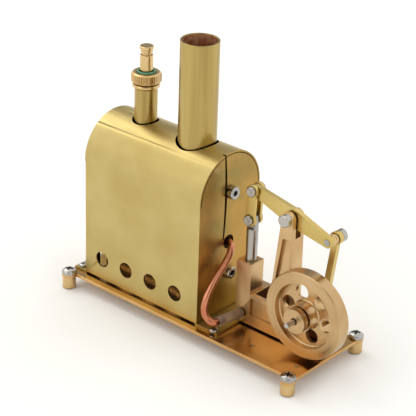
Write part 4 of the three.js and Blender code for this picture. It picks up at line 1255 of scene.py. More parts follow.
    def build_screws(self) -> None:
        """Builds the socket screws of the two ends and the low screws of the brackets."""
        for end, sign in (("engine", 1), ("burner", -1)):
            for level in ("lower", "upper"):
                node = f"casing_screw_{end}_{level}"
                room = Space.of(node)
                face = room.high.x if sign > 0 else room.low.x
                x = face - sign * self.socket_screw.height
                screw = self.socket_screw.build(f"{node}_socket")
                turn = Matrix.Rotation(sign * math.pi / 2, 4, "Y")
                turn = turn @ Matrix.Rotation(math.radians(12), 4, "Z")
                Bench.place(screw, Matrix.Translation((x, room.middle.y, room.middle.z)) @ turn)
                Bench.seat(screw, "frame", CHROME, node)
            for side in ("front", "back"):
                node = f"bracket_screw_{end}_{side}"
                room = Space.of(node)
                screw = self.foot_screw.build(f"{node}_pan")
                top = room.high.z - self.foot_screw.height
                turn = Matrix.Rotation(math.radians(35), 4, "Z")
                Bench.place(screw, Matrix.Translation((room.middle.x, room.middle.y, top)) @ turn)
                Bench.seat(screw, "frame", CHROME, node)


# ------------------------------------------------------------------ chimney and filler


@dataclass
class Chimney:
    """The flue tube: satin outside, red brown oxide inside."""

    wall: float = 0.7

    def build(self) -> None:
        """Turns the tube and gives its inner wall the oxide."""
        room = Space.of("chimney")
        outer = room.size.x / 2
        inner = outer - self.wall
        low, high = room.low.z, room.high.z
        profile = [
            (inner, low), (outer, low), (outer, high - 0.12), (outer - 0.12, high),
            (inner + 0.15, high), (inner, high - 0.2), (inner, low),
        ]
        tube = Bench.turned(
            "chimney_tube", profile, Axis.Z, Vector((room.middle.x, room.middle.y, 0)), 96,
        )
        Bench.soften(tube, 0.04, 2, 40)
        tube.data.materials.append(TUBE_BRASS.material())
        tube.data.materials.append(HOT_COPPER.material())
        centre = Vector((room.middle.x, room.middle.y))
        for face in tube.data.polygons:
            face.material_index = int(
                (face.center.xy - centre).length < inner + 0.05 and face.center.z < high - 0.3
            )
        Bench.seat(tube, "frame", TUBE_BRASS, "chimney")


@dataclass
class Filler:
    """The filler: its neck and bush, the knurled cap, the seal ring and the safety valve."""

    neck_bore: float = 2.4
    teeth: int = 36
    knurl: float = 0.3
    valve_travel: float = 1.2
    spring_wire: float = 0.22
    spring_turns: int = 4
    seat_drop: float = 0.35
    disc_height: float = 0.8
    knob_drop: float = 2.7
    plug: float = 4.2
    rod: float = 0.95
    stem: float = 1.9
    neck: Space = field(init=False)
    cap: Space = field(init=False)
    centre: Vector = field(init=False)

    def build(self) -> None:
        """Builds the filler from the neck upwards."""
        self.neck = Space.of("filler_neck")
        self.cap = Space.of("filler_cap")
        self.centre = Vector((self.neck.middle.x, self.neck.middle.y, 0))
        self.build_neck()
        self.build_cap()
        self.build_valve()

    def seat(self, piece: bpy.types.Object, body: str, finish: Finish, node: str) -> None:
        """Moves a piece from the origin onto the filler's axis and seats it.

        Args:
            piece: The piece, turned about the Z axis.
            body: Its body.
            finish: Its finish.
            node: The CAD node that it replaces.
        """
        Bench.place(piece, Matrix.Translation(self.centre))
        Bench.seat(piece, body, finish, node)

    def build_neck(self) -> None:
        """Turns the neck and the rolled bush on top of it."""
        outer, low, high = self.neck.size.x / 2, self.neck.low.z, self.neck.high.z
        bore = self.neck_bore
        tube = Bench.turned(
            "filler_neck_tube",
            [(bore, low), (outer, low), (outer, high), (bore, high), (bore, low)],
        )
        Bench.soften(tube, 0.05, 2, 40)
        self.seat(tube, "frame", TUBE_BRASS, "filler_neck")
        room = Space.of("filler_bush")
        lip, z0, z1 = room.size.x / 2, room.low.z, room.high.z
        profile = [
            (bore, z0), (outer, z0), (outer + 0.1, z0 + 0.12), (lip - 0.15, z0 + 0.42), (lip, z0 + 0.65),
            (lip - 0.02, z1 - 0.45), (lip - 0.25, z1 - 0.15), (outer, z1), (bore, z1), (bore, z0),
        ]
        bush = Bench.turned("filler_bush_turned", profile)
        Bench.soften(bush, 0.05, 2, 30)
        self.seat(bush, "frame", TURNED_BRASS, "filler_bush")

    def build_cap(self) -> None:
        """Knurls and turns the cap, and lays the seal ring in its groove."""
        radius = self.cap.size.x / 2
        top, low = self.cap.high.z, self.cap.low.z
        shoulder = low + self.plug
        teeth: list[Point] = []
        for tooth in range(self.teeth):
            for share, depth in ((0.0, 0.0), (0.25, 0.02), (0.5, self.knurl), (0.75, self.knurl)):
                angle = 2 * math.pi * (tooth + share) / self.teeth
                teeth.append(((radius - depth) * math.cos(angle), (radius - depth) * math.sin(angle)))
        cap = Bench.blank("filler_cap_knurled", teeth, Axis.Z, shoulder, top)
        form = Bench.turned(
            "form",
            [
                (0.0, shoulder - 1), (radius - 0.5, shoulder - 1), (radius - 0.5, shoulder),
                (radius, shoulder + 0.5), (radius + 0.1, shoulder + 0.6),
                (radius + 0.1, top - 0.75), (radius - 0.15, top - 0.35),
                (radius - 0.55, top - 0.06), (radius - 0.8, top), (0.0, top),
            ],
            steps=80,
        )
        cap = Bench.mix(cap, form, Mix.KEEP)
        plug = Bench.turned(
            "plug",
            [
                (0.0, low), (self.neck_bore - 0.1, low), (self.neck_bore - 0.1, shoulder + 0.5),
                (0.0, shoulder + 0.5),
            ],
        )
        cap = Bench.mix(cap, plug, Mix.ADD)
        seal = Space.of("cap_seal_ring")
        seat = seal.low.z - 0.05
        dish = Bench.turned(
            "dish", [
                (0.0, seat), (2.85, seat), (2.85, top - 0.12), (3.1, top + 0.1), (3.1, top + 1),
                (0.0, top + 1),
            ]
        )
        cap = Bench.mix(cap, dish, Mix.CUT)
        cap = Bench.drill(cap, self.rod + 0.06, Axis.Z, (0.0, 0.0), (low - 1, top), 48)
        Bench.soften(cap, 0.05, 2, 40)
        self.seat(cap, "filler_cap", TURNED_BRASS, "filler_cap")

        minor = seal.size.z / 2
        major = seal.size.x / 2 - minor
        ring = Bench.turned("seal_ring", [(major + u, v) for u, v in arc((0, 0), minor, 0, 360, 24)])
        Bench.place(ring, Matrix.Translation((0, 0, seal.middle.z)))
        Bench.soften(ring, 0.01, 1, 80)
        self.seat(ring, "filler_cap", SEAL, "cap_seal_ring")

    def build_valve(self) -> None:
        """Turns the valve stem with its knob and winds the spring below the cap."""
        room = Space.of("valve_stem")
        low, top = room.low.z, room.high.z
        seat = self.cap.high.z - self.seat_drop
        disc = low + self.disc_height
        knob = room.size.x / 2
        neck = top - self.knob_drop
        profile = [
            (0.0, low), (self.stem, low), (self.stem, disc), (self.rod, disc), (self.rod, seat),
            (self.stem, seat), (self.stem, neck - 0.1), (self.stem - 0.1, neck), (1.4, neck + 0.05),
            (1.4, neck + 0.7), (1.7, neck + 0.8), (1.8, neck + 0.95), (1.75, neck + 1.5),
            (knob - 0.08, neck + 1.7), (knob, neck + 1.85), (knob, top - 0.3),
            (knob - 0.12, top - 0.1), (knob - 0.35, top), (0.0, top),
        ]
        stem = Bench.turned("valve_stem_turned", profile)
        Bench.soften(stem, 0.04, 2, 35)
        self.seat(stem, "valve", TURNED_BRASS, "valve_stem")

        spring = Space.of("valve_spring")
        wire = self.spring_wire
        bpy.ops.object.select_all(action="DESELECT")
        bpy.ops.mesh.primitive_circle_add(
            vertices=10,
            radius=wire,
            fill_type="NOTHING",
            location=(spring.size.x / 2 - wire, 0, 0),
            rotation=(math.pi / 2, 0, 0),
        )
        coil = bpy.context.active_object
        coil.name = "valve_spring_wound"
        bpy.ops.object.transform_apply(location=True, rotation=True, scale=True)
        bpy.ops.object.modifier_add(type="SCREW")
        winding = coil.modifiers[-1]
        winding.iterations = self.spring_turns
        winding.screw_offset = (spring.size.z - 2 * wire) / self.spring_turns
        winding.steps = winding.render_steps = 32
        winding.use_normal_calculate = True
        bpy.ops.object.modifier_apply(modifier=winding.name)
        bpy.ops.object.mode_set(mode="EDIT")
        bpy.ops.mesh.select_all(action="DESELECT")
        bpy.ops.mesh.select_non_manifold()
        bpy.ops.mesh.edge_face_add()
        Bench.close()
        bpy.ops.object.shade_smooth_by_angle(angle=math.radians(50))
        Bench.place(coil, Matrix.Translation((0, 0, spring.low.z + wire)))
        self.seat(coil, "valve", STEEL, "valve_spring")
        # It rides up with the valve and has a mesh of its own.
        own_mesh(coil)


# ------------------------------------------------------------------ burner


@dataclass
class Burner:
    """The spirit tank with its handle, wick tubes and wicks."""

    handle: float = 0.7
    handle_reach: float = 6.4
    handle_half: float = 3.0
    handle_lift: float = 1.0
    corner: float = 1.6
    tube_seat: float = 2.0
    tube_wall: float = 0.3

    def build(self) -> None:
        """Builds the tank and both wicks."""
        room = Space.of("burner_tank")
        tube = Space.of("wick_tube_1")
        low, high = room.low, room.high
        tank_top = tube.low.z + self.tube_seat
        tank_x0 = low.x + self.handle_reach
        corner = self.corner
        x0, x1, y0, y1 = tank_x0 + corner, high.x - corner, low.y + corner, high.y - corner
        outline: list[Point] = []
        for x, y, start in ((x1, y1, 0), (x0, y1, 90), (x0, y0, 180), (x1, y0, 270)):
            outline += arc((x, y), corner, start, start + 90, 10)
        tank = Bench.blank("burner_tank_pressed", outline, Axis.Z, low.z, tank_top)
        y = room.middle.y
        tab = low.z + self.handle_lift
        arm = [
            (low.x, tab), (tank_x0 + 0.3, tab), (tank_x0 + 0.3, tab + self.handle),
            (low.x + self.handle, tab + self.handle), (low.x + self.handle, high.z),
            (low.x, high.z),
        ]
        handle = Bench.blank("arm", arm, Axis.Y, y - self.handle_half, y + self.handle_half)
        tank = Bench.mix(tank, handle, Mix.ADD)
        for number in (1, 2):
            spot = Space.of(f"wick_tube_{number}").middle
            tank = Bench.drill(
                tank, tube.size.x / 2 + 0.05, Axis.Z, (spot.x, spot.y),
                (tube.low.z - 0.2, tank_top + 1), 40,
            )
        Bench.soften(tank, 0.2, 3, 40)
        Bench.seat(tank, "burner", TURNED_BRASS, "burner_tank")
        for number in (1, 2):
            room = Space.of(f"wick_tube_{number}")
            radius, at = room.size.x / 2, Vector((room.middle.x, room.middle.y, 0))
            bore = radius - self.tube_wall
            profile = [
                (bore, room.low.z), (radius, room.low.z), (radius, room.high.z - 0.1),
                (bore + 0.1, room.high.z), (bore, room.low.z),
            ]
            pipe = Bench.turned(f"wick_tube_{number}_rolled", profile, Axis.Z, at, 40)
            Bench.soften(pipe, 0.03, 1, 40)
            Bench.seat(pipe, "burner", TURNED_BRASS, f"wick_tube_{number}")
            cord = Space.of(f"wick_{number}")
            r, top = cord.size.x / 2, cord.high.z
            bundle = Bench.turned(
                f"wick_{number}_braid",
                [
                    (0.0, cord.low.z), (r, cord.low.z), (r, top - 0.6), (r * 0.92, top - 0.3),
                    (r * 0.7, top - 0.08), (r * 0.3, top - 0.15), (0.0, top - 0.05),
                ],
                Axis.Z, at, 32,
            )
            Bench.soften(bundle, 0.05, 2, 50)
            Bench.seat(bundle, "burner", COTTON, f"wick_{number}")


# ------------------------------------------------------------------ steam line


@dataclass
class SteamLine:
    """The copper pipe, the silicone sleeve and the inlet nipple."""

    pipe: float = 1.0
    lean: float = 9.0
    sleeve: float = 1.5
    sleeve_bore: float = 1.14
    sleeve_start: float = 0.45
    sleeve_length: float = 8.6
    nipple_x: float = 14.2
    # Places that the pipe bends through, from the plate's middle.
    bends: tuple[tuple[float, float, float], ...] = (
        (8.3, -0.7, 26.0), (8.9, -3.4, 23.4), (9.1, -6.9, 20.5), (9.3, -10.3, 17.2),
        (9.5, -12.4, 14.2), (9.8, -13.1, 11.7), (10.8, -12.9, 9.6),
    )
    # Places on the sleeve's axis, from its end: before it, then inside it.
    reaches: tuple[float, ...] = (1.3, 0.0, -1.1, -2.2)
    start: Vector = field(init=False)
    direction: Vector = field(init=False)

    def build(self) -> None:
        """Bends the pipe, cuts the sleeve and turns the nipple."""
        plate = Space.of("base_plate").middle
        casing = Space.of("boiler_casing")
        bed = Space.of("engine_bed")
        lean = math.radians(self.lean)
        height = Space.of("silicone_tube").middle.z
        self.start = Vector((plate.x + self.nipple_x, bed.low.y, height))
        self.direction = Vector((-math.sin(lean), -math.cos(lean), 0))
        middle = casing.middle.y
        exit_z = Space.of("steam_pipe").high.z - self.pipe
        x0 = Space.of("steam_pipe").low.x
        end = self.sleeve_start + self.sleeve_length
        route = [
            Vector((x0, middle, exit_z)),
            Vector((x0 + 2.2, middle, exit_z)),
            Vector((casing.high.x + 0.6, middle - 0.1, exit_z - 0.1)),
        ]
        route += [Vector((plate.x + x, y, z)) for x, y, z in self.bends]
        route += [self.along(end + reach) for reach in self.reaches]
        pipe = Bench.swept("steam_pipe_bent", route, self.pipe)
        Bench.seat(pipe, "frame", COPPER, "steam_pipe")

        bore, outer, length = self.sleeve_bore, self.sleeve, self.sleeve_length
        profile = [
            (bore, 0.0), (outer - 0.03, 0.0), (outer + 0.06, 1.6), (outer - 0.02, 3.2),
            (outer - 0.03, 5.0), (outer, length - 1.6), (outer - 0.05, length), (bore, length),
            (bore, 0.0),
        ]
        sleeve = Bench.turned("silicone_sleeve", profile, steps=56)
        Bench.soften(sleeve, 0.1, 3, 60)
        self.seat(sleeve, self.sleeve_start, SILICONE, "silicone_tube")

        barb = [
            (0.5, -0.85), (0.9, -0.85), (0.9, 0.25), (1.35, 0.25), (1.35, 0.42), (0.85, 0.42),
            (0.85, 1.1), (1.0, 1.35), (0.82, 1.9), (0.85, 2.0), (1.0, 2.2), (0.8, 2.8), (0.5, 2.8),
            (0.5, -0.85),
        ]
        nipple = Bench.turned("inlet_nipple_turned", barb, steps=48)
        Bench.soften(nipple, 0.04, 2, 40)
        self.seat(nipple, 0.0, TURNED_BRASS, "inlet_nipple")

    def along(self, distance: float) -> Vector:
        """Point on the nipple's axis.

        Args:
            distance: Distance from the block's face.

        Returns:
            The point.
        """
        return self.start + self.direction * distance

    def seat(self, piece: bpy.types.Object, distance: float, finish: Finish, node: str) -> None:
        """Turns a piece from the Z axis onto the nipple's axis and seats it.

        Args:
            piece: The piece.
            distance: Where its height 0 goes along the axis.
            finish: Its finish.
            node: The CAD node that it replaces.
        """
        turn = Matrix.Rotation(-math.radians(self.lean), 4, "Z") @ Matrix.Rotation(math.pi / 2, 4, "X")
        Bench.place(piece, Matrix.Translation(self.along(distance)) @ turn)
        Bench.seat(piece, "frame", finish, node)


# ------------------------------------------------------------------ engine bed and column


@dataclass
class EngineBed:
    """The bed casting with its cylinder block and bearing post, and the bearing bush."""

    block_width: float = 5.2
    block_depth: float = 5.5
    bed_height: float = 9.9
    rim: float = 0.8
    panel: float = 0.8
    bore: float = 1.72
    bore_floor: float = 3.5
    bush_bore: float = 1.55
    pad_lift: float = 0.6
    post_half: float = 2.6
    screw: PanScrew = PanScrew(1.8, 1.2, 0.95, 5.0)

    def build(self) -> None:
        """Machines the bed and turns the bush and the screws under it."""
        room = Space.of("engine_bed")
        low, high = room.low, room.high
        bed_z = low.z + self.pad_lift
        top = bed_z + self.bed_height
        block_x1 = low.x + self.block_width
        column = Space.of("column")
        shaft = Space.of("crankshaft").middle
        piston = Space.of("piston").middle
        post_back = Space.of("crankshaft_bush").high.y - 0.3
        block_top = high.z

        bed = Bench.block(
            "engine_bed_casting", Vector((low.x, low.y, bed_z)), Vector((high.x, high.y, top)),
        )
        tower = Bench.block(
            "tower", Vector((low.x, low.y, top - 1)),
            Vector((block_x1, low.y + self.block_depth, block_top)),
        )
        bed = Bench.mix(bed, tower, Mix.ADD)
        half = self.post_half
        post = [(shaft.x - half, top - 1), (shaft.x + half, top - 1)]
        post += arc((shaft.x, shaft.z), half, 0, 180, 32)
        bed = Bench.mix(bed, Bench.blank("post", post, Axis.Y, low.y, post_back), Mix.ADD)
        pad_x0 = column.low.x + 3.7
        pad = Bench.block(
            "pad", Vector((pad_x0, low.y + 1, low.z)),
            Vector((pad_x0 + 5.8, high.y - 1, bed_z + 1)),
        )
        bed = Bench.mix(bed, pad, Mix.ADD)

        front, back = low.y + self.panel + 0.5, high.y - self.rim
        pockets = (
            (
                Vector((block_x1 + self.rim, front, low.z + 2.4)),
                Vector((column.low.x - 0.7, back, top + 1)),
            ),
            (Vector((shaft.x - 6.2, post_back, low.z + 3.6)), Vector((high.x - 0.5, back, top + 1))),
            (Vector((high.x - 0.6, post_back, shaft.z - 5.8)), Vector((high.x + 1, back, top + 1))),
        )
        for corner, far in pockets:
            bed = Bench.mix(bed, Bench.block("pocket", corner, far), Mix.CUT)
        x0, x1, z0, z1 = block_x1 + 0.1, high.x - 1.2, low.z + 3.6, top - 1.1
        soft = 0.6
        panel: list[Point] = []
        for x, z, start in (
            (x1 - soft, z1 - soft, 0), (x0 + soft, z1 - soft, 90), (x0 + soft, z0 + soft, 180),
            (x1 - soft, z0 + soft, 270),
        ):
            panel += arc((x, z), soft, start, start + 90, 6)
        recess = Bench.blank("panel", panel, Axis.Y, low.y - 1, low.y + self.panel)
        bed = Bench.mix(bed, recess, Mix.CUT)
        span = (low.z + self.bore_floor, block_top + 1)
        bed = Bench.drill(bed, self.bore, Axis.Z, (piston.x, piston.y), span, 56)
        span = (low.y - 1, post_back + 1)
        bed = Bench.drill(bed, self.bush_bore, Axis.Y, (shaft.x, shaft.z), span, 48)
        Bench.soften(bed, 0.16, 3, 40, split=True)
        Bench.seat(bed, "frame", BRONZE, "engine_bed")
        self.build_bush(Space.of("crankshaft_bush"), shaft)
        for number in (1, 2):
            node = f"bed_screw_{number}"
            spot = Space.of(node)
            screw = self.screw.build(f"{node}_pan")
            under = spot.low.z + self.screw.height
            place = Matrix.Translation((spot.middle.x, spot.middle.y, under))
            Bench.place(screw, place @ Matrix.Rotation(math.pi, 4, "X"))
            Bench.seat(screw, "frame", CHROME, node)

    def build_bush(self, room: Space, shaft: Vector) -> None:
        """Turns the flanged bearing bush.

        Args:
            room: Room of the bush.
            shaft: Middle of the crankshaft.
        """
        inner, outer, flange = 0.81, 1.5, room.size.x / 2
        y0, y1 = room.low.y, room.high.y
        profile = [
            (inner, y0), (flange, y0), (flange, y0 + 0.4), (outer, y0 + 0.4), (outer, y1),
            (inner, y1), (inner, y0),
        ]
        bush = Bench.turned("crankshaft_bush_turned", profile, Axis.Y, Vector((shaft.x, 0, shaft.z)), 48)
        Bench.soften(bush, 0.05, 2, 40)
        Bench.seat(bush, "frame", TURNED_BRASS, "crankshaft_bush")


@dataclass
class Column:
    """The forked column that carries the beam, with its pivot pin and washer."""

    ear: float = 1.95
    slot: float = 2.2
    slot_depth: float = 5.8
    panel: float = 1.0
    pin_hole: float = 1.04

    def build(self) -> None:
        """Machines the column and turns its pin and washer."""
        room = Space.of("column")
        pin = Space.of("beam_pivot_pin")
        low, high = room.low, room.high
        x, z = pin.middle.x, pin.middle.z
        outline = [(low.x, low.z), (high.x, low.z)] + arc((x, z), self.ear, 0, 180, 48)
        column = Bench.blank("column_casting", outline, Axis.Y, low.y, high.y)
        middle = Space.of("beam").middle.y
        gap = Bench.block(
            "gap",
            Vector((low.x - 1, middle - self.slot / 2, z - self.slot_depth)),
            Vector((high.x + 1, middle + self.slot / 2, high.z + 1)),
        )
        column = Bench.mix(column, gap, Mix.CUT)
        span = (low.y - 1, high.y + 1)
        column = Bench.drill(column, self.pin_hole, Axis.Y, (x, z), span, 40)
        window = [
            (low.x + 0.85, low.z + 1.5), (high.x - 0.4, low.z + 1.5), (x + self.ear - 0.35, z - 6.6),
            (x + self.ear - 0.75, z - 6.2), (x - self.ear + 1.15, z - 6.2),
            (x - self.ear + 0.75, z - 6.6),
        ]
        for start, end in ((low.y - 1, low.y + self.panel), (high.y - self.panel, high.y + 1)):
            column = Bench.mix(column, Bench.blank("window", window, Axis.Y, start, end), Mix.CUT)
        Bench.soften(column, 0.14, 3, 40, split=True)
        Bench.seat(column, "frame", BRONZE, "column")

        head = pin.size.x / 2
        y0, y1 = pin.low.y, pin.high.y
        profile = [
            (0.0, y0 + 0.05), (head * 0.5, y0 + 0.02), (head - 0.25, y0), (head, y0 + 0.2),
            (head, low.y), (0.98, low.y), (0.98, y1 - 0.15), (0.8, y1), (0.0, y1),
        ]
        pivot = Bench.turned("beam_pivot_pin_turned", profile, Axis.Y, Vector((x, 0, z)), 48)
        Bench.soften(pivot, 0.05, 2, 40)
        Bench.seat(pivot, "frame", STEEL, "beam_pivot_pin")
        ring = Space.of("beam_pivot_washer")
        radius = ring.size.x / 2
        profile = [
            (1.03, ring.low.y), (radius, ring.low.y), (radius, ring.high.y - 0.1),
            (radius - 0.12, ring.high.y), (1.03, ring.high.y), (1.03, ring.low.y),
        ]
        washer = Bench.turned("beam_pivot_washer_turned", profile, Axis.Y, Vector((x, 0, z)), 48)
        Bench.soften(washer, 0.04, 2, 40)
        Bench.seat(washer, "frame", STEEL, "beam_pivot_washer")


# ------------------------------------------------------------------ beam, links, piston, rod


@dataclass
class Beam:
    """The rocking beam with the pin at its piston end and the screw and rings at its crank end."""

    end: float = 1.6
    half_depth: float = 2.75

    def build(self) -> None:
        """Cuts the beam and turns what rides on it."""
        pivot = Space.of("beam_pivot_pin").middle
        left = Space.of("upper_link_pin").middle
        right = Space.of("conrod_screw").middle
        tilt = math.atan2(pivot.z - right.z, right.x - pivot.x)
        left_arm = math.hypot(pivot.x - left.x, pivot.z - left.z)
        right_arm = math.hypot(pivot.x - right.x, pivot.z - right.z)
        room = Space.of("beam")
        slope_left = math.degrees(math.atan2(self.half_depth - self.end, left_arm))
        slope_right = math.degrees(math.atan2(self.half_depth - self.end, right_arm))
        # The middle of each long side is eased, as a cut sheet is when its corner is filed.
        outline = arc((right_arm, 0), self.end, -90 + slope_right, 90 - slope_right, 32)
        outline += [(0.5, self.half_depth - 0.05), (-0.5, self.half_depth - 0.05)]
        outline += arc((-left_arm, 0), self.end, 90 + slope_left, 270 - slope_left, 32)
        outline += [(-0.5, 0.05 - self.half_depth), (0.5, 0.05 - self.half_depth)]
        beam = Bench.blank("beam_bar", outline, Axis.Y, room.low.y, room.high.y)
        span = (room.low.y - 1, room.high.y + 1)
        for offset, radius in ((0.0, 1.04), (-left_arm, 0.65), (right_arm, 1.0)):
            beam = Bench.drill(beam, radius, Axis.Y, (offset, 0.0), span, 40)
        Bench.soften(beam, 0.14, 3, 40, split=True)
        tilted = Matrix.Translation((pivot.x, 0, pivot.z)) @ Matrix.Rotation(tilt, 4, "Y")
        Bench.place(beam, tilted)
        Bench.seat(beam, "beam", MILLED_BRASS, "beam")
        build_link_pin("upper_link_pin", "beam")
        self.build_screw(tilted, right_arm)

    def build_screw(self, tilted: Matrix, arm: float) -> None:
        """Builds the rod screw and the two spacer rings on it.

        Args:
            tilted: Place of the beam.
            arm: Distance from the pivot to the screw.
        """
        room = Space.of("conrod_screw")
        y1 = room.high.y
        screw = CapScrew(1.85, 1.8, 0.95, room.size.y - 1.8).build("conrod_cap_screw")
        Bench.place(screw, tilted @ Matrix.Translation((arm, y1 - 1.8, 0)) @ Axis.Y.turn())
        Bench.seat(screw, "beam", STEEL, "conrod_screw")
        for number in (1, 2):
            ring = Space.of(f"conrod_spacer_{number}")
            y0, y1, outer = ring.low.y, ring.high.y, ring.size.x / 2
            profile = [
                (1.0, y0), (outer - 0.15, y0), (outer, y0 + 0.15), (outer, y1 - 0.15),
                (outer - 0.15, y1), (1.0, y1), (1.0, y0),
            ]
            spacer = Bench.turned(
                f"conrod_spacer_{number}_turned", profile, Axis.Y,
                Vector((ring.middle.x, 0, ring.middle.z)), 48,
            )
            Bench.soften(spacer, 0.05, 2, 40)
            Bench.seat(spacer, "beam", TURNED_BRASS, f"conrod_spacer_{number}")


def build_link_pin(node: str, body: str) -> None:
    """Turns one of the two link pins.

    Args:
        node: The CAD node that it replaces.
        body: The body that it rides on.
    """
    room = Space.of(node)
    pin = headed_pin(f"{node}_turned", room.size.y / 2, 0.6, room.size.x / 2, 0.8)
    Bench.place(pin, Matrix.Translation(room.middle) @ Axis.Y.turn())
    Bench.seat(pin, body, STEEL, node)


@dataclass
class PistonLinks:
    """The two links between the beam and the piston."""

    half_width: float = 1.5
    eye: float = 1.9

    def build(self) -> None:
        """Cuts both links from one blank."""
        upper = Space.of("upper_link_pin").middle
        front = Space.of("piston_link_front")
        lower = front.middle * 2 - upper
        length = math.hypot(upper.x - lower.x, upper.z - lower.z)
        lean = math.atan2(upper.x - lower.x, upper.z - lower.z)
        half = front.size.y / 2
        link = Bench.blank(
            "piston_link_front_bar", bar_outline(length, self.half_width, self.eye), Axis.Y, -half,
            half,
        )
        link = Bench.drill(link, 0.66, Axis.Y, (0.0, 0.0), (-2, 2), 32)
        link = Bench.drill(link, 0.96, Axis.Y, (0.0, -length), (-2, 2), 32)
        Bench.soften(link, 0.14, 3, 40)
        turn = Matrix.Rotation(lean, 4, "Y")
        back = Space.of("piston_link_back")
        twin = Bench.copy(
            link, "piston_link_back_bar",
            Matrix.Translation((upper.x, back.middle.y, upper.z)) @ turn,
        )
        Bench.place(link, Matrix.Translation((upper.x, front.middle.y, upper.z)) @ turn)
        Bench.seat(link, "links", MILLED_BRASS, "piston_link_front")
        Bench.seat(twin, "links", MILLED_BRASS, "piston_link_back")


@dataclass
class Piston:
    """The ground piston with its flat tongue, and the lower link pin."""

    tongue: float = 3.0
    thickness: float = 1.5
    shoulder: float = 3.0

    def build(self) -> None:
        """Turns the piston and mills its tongue."""
        room = Space.of("piston")
        pin = Space.of("lower_link_pin").middle
        radius = room.size.x / 2
        shoulder = pin.z - self.shoulder
        profile = [
            (0.0, room.low.z), (radius - 0.15, room.low.z), (radius, room.low.z + 0.15),
            (radius, shoulder - 0.2), (radius - 0.2, shoulder), (0.0, shoulder),
        ]
        piston = Bench.turned("piston_ground", profile, Axis.Z, Vector((pin.x, pin.y, 0)), 56)
        half = self.tongue / 2
        tab = [
            (pin.x - half, shoulder - 0.5), (pin.x + half, shoulder - 0.5),
        ] + arc((pin.x, pin.z), half, 0, 180, 24)
        tab_piece = Bench.blank(
            "tab", tab, Axis.Y, pin.y - self.thickness / 2, pin.y + self.thickness / 2,
        )
        piston = Bench.mix(piston, tab_piece, Mix.ADD)
        piston = Bench.drill(piston, 0.65, Axis.Y, (pin.x, pin.z), (pin.y - 2, pin.y + 2), 32)
        Bench.soften(piston, 0.08, 2, 40)
        Bench.seat(piston, "piston", STEEL, "piston")
        build_link_pin("lower_link_pin", "piston")


@dataclass
class ConnectingRod:
    """The rod from the beam to the crank, with the crank pin."""

    half_width: float = 1.0
    eye: float = 1.9

    def build(self) -> None:
        """Cuts the rod and turns the pin."""
        upper = Space.of("conrod_screw").middle
        lower = Space.of("crank_pin").middle
        room = Space.of("connecting_rod")
        length = math.hypot(upper.x - lower.x, upper.z - lower.z)
        lean = math.atan2(upper.x - lower.x, upper.z - lower.z)
        rod = Bench.blank(
            "connecting_rod_bar", bar_outline(length, self.half_width, self.eye), Axis.Y,
            room.low.y, room.high.y,
        )
        span = (room.low.y - 1, room.high.y + 1)
        rod = Bench.drill(rod, 1.02, Axis.Y, (0.0, 0.0), span, 40)
        rod = Bench.drill(rod, 0.8, Axis.Y, (0.0, -length), span, 40)
        Bench.soften(rod, 0.15, 3, 40)
        Bench.place(rod, Matrix.Translation((upper.x, 0, upper.z)) @ Matrix.Rotation(lean, 4, "Y"))
        Bench.seat(rod, "conrod", MILLED_BRASS, "connecting_rod")
        pin = Space.of("crank_pin")
        head, y0, y1 = pin.size.x / 2, pin.low.y, pin.high.y
        profile = [
            (0.0, y0), (0.6, y0), (0.75, y0 + 0.15), (0.75, y1 - 0.6), (head, y1 - 0.6),
            (head, y1 - 0.18), (head - 0.18, y1), (0.0, y1 - 0.04),
        ]
        crank_pin = Bench.turned(
            "crank_pin_turned", profile, Axis.Y, Vector((pin.middle.x, 0, pin.middle.z)), 48,
        )
        Bench.soften(crank_pin, 0.04, 2, 40)
        Bench.seat(crank_pin, "conrod", STEEL, "crank_pin")


# ------------------------------------------------------------------ crank and flywheel


@dataclass
class Crank:
    """The crankshaft and the disc behind the bearing."""

    def build(self) -> None:
        """Turns the shaft and the disc."""
        room = Space.of("crankshaft")
        at = Vector((room.middle.x, 0, room.middle.z))
        radius, y0, y1 = 0.75, room.low.y, room.high.y
        shaft = Bench.turned(
            "crankshaft_ground", [
                (0.0, y0), (radius - 0.15, y0), (radius, y0 + 0.15), (radius, y1), (0.0, y1),
            ], Axis.Y, at, 40
        )
        Bench.soften(shaft, 0.04, 2, 40)
        Bench.seat(shaft, "crank", STEEL, "crankshaft")
        disc_room = Space.of("crank_disc")
        outer, y0, y1 = disc_room.size.x / 2, disc_room.low.y, disc_room.high.y
        profile = [
            (0.8, y0), (outer - 0.2, y0), (outer, y0 + 0.2), (outer, y1 - 0.2), (outer - 0.2, y1),
            (2.2, y1), (2.1, y1 - 0.15), (0.8, y1 - 0.15), (0.8, y0),
        ]
        disc = Bench.turned("crank_disc_turned", profile, Axis.Y, at, 72)
        pin = Space.of("crank_pin").middle
        disc = Bench.drill(disc, 0.8, Axis.Y, (pin.x, pin.z), (y0 - 1, y1 + 1), 32)
        Bench.soften(disc, 0.05, 2, 40)
        Bench.seat(disc, "crank", TURNED_BRASS, "crank_disc")


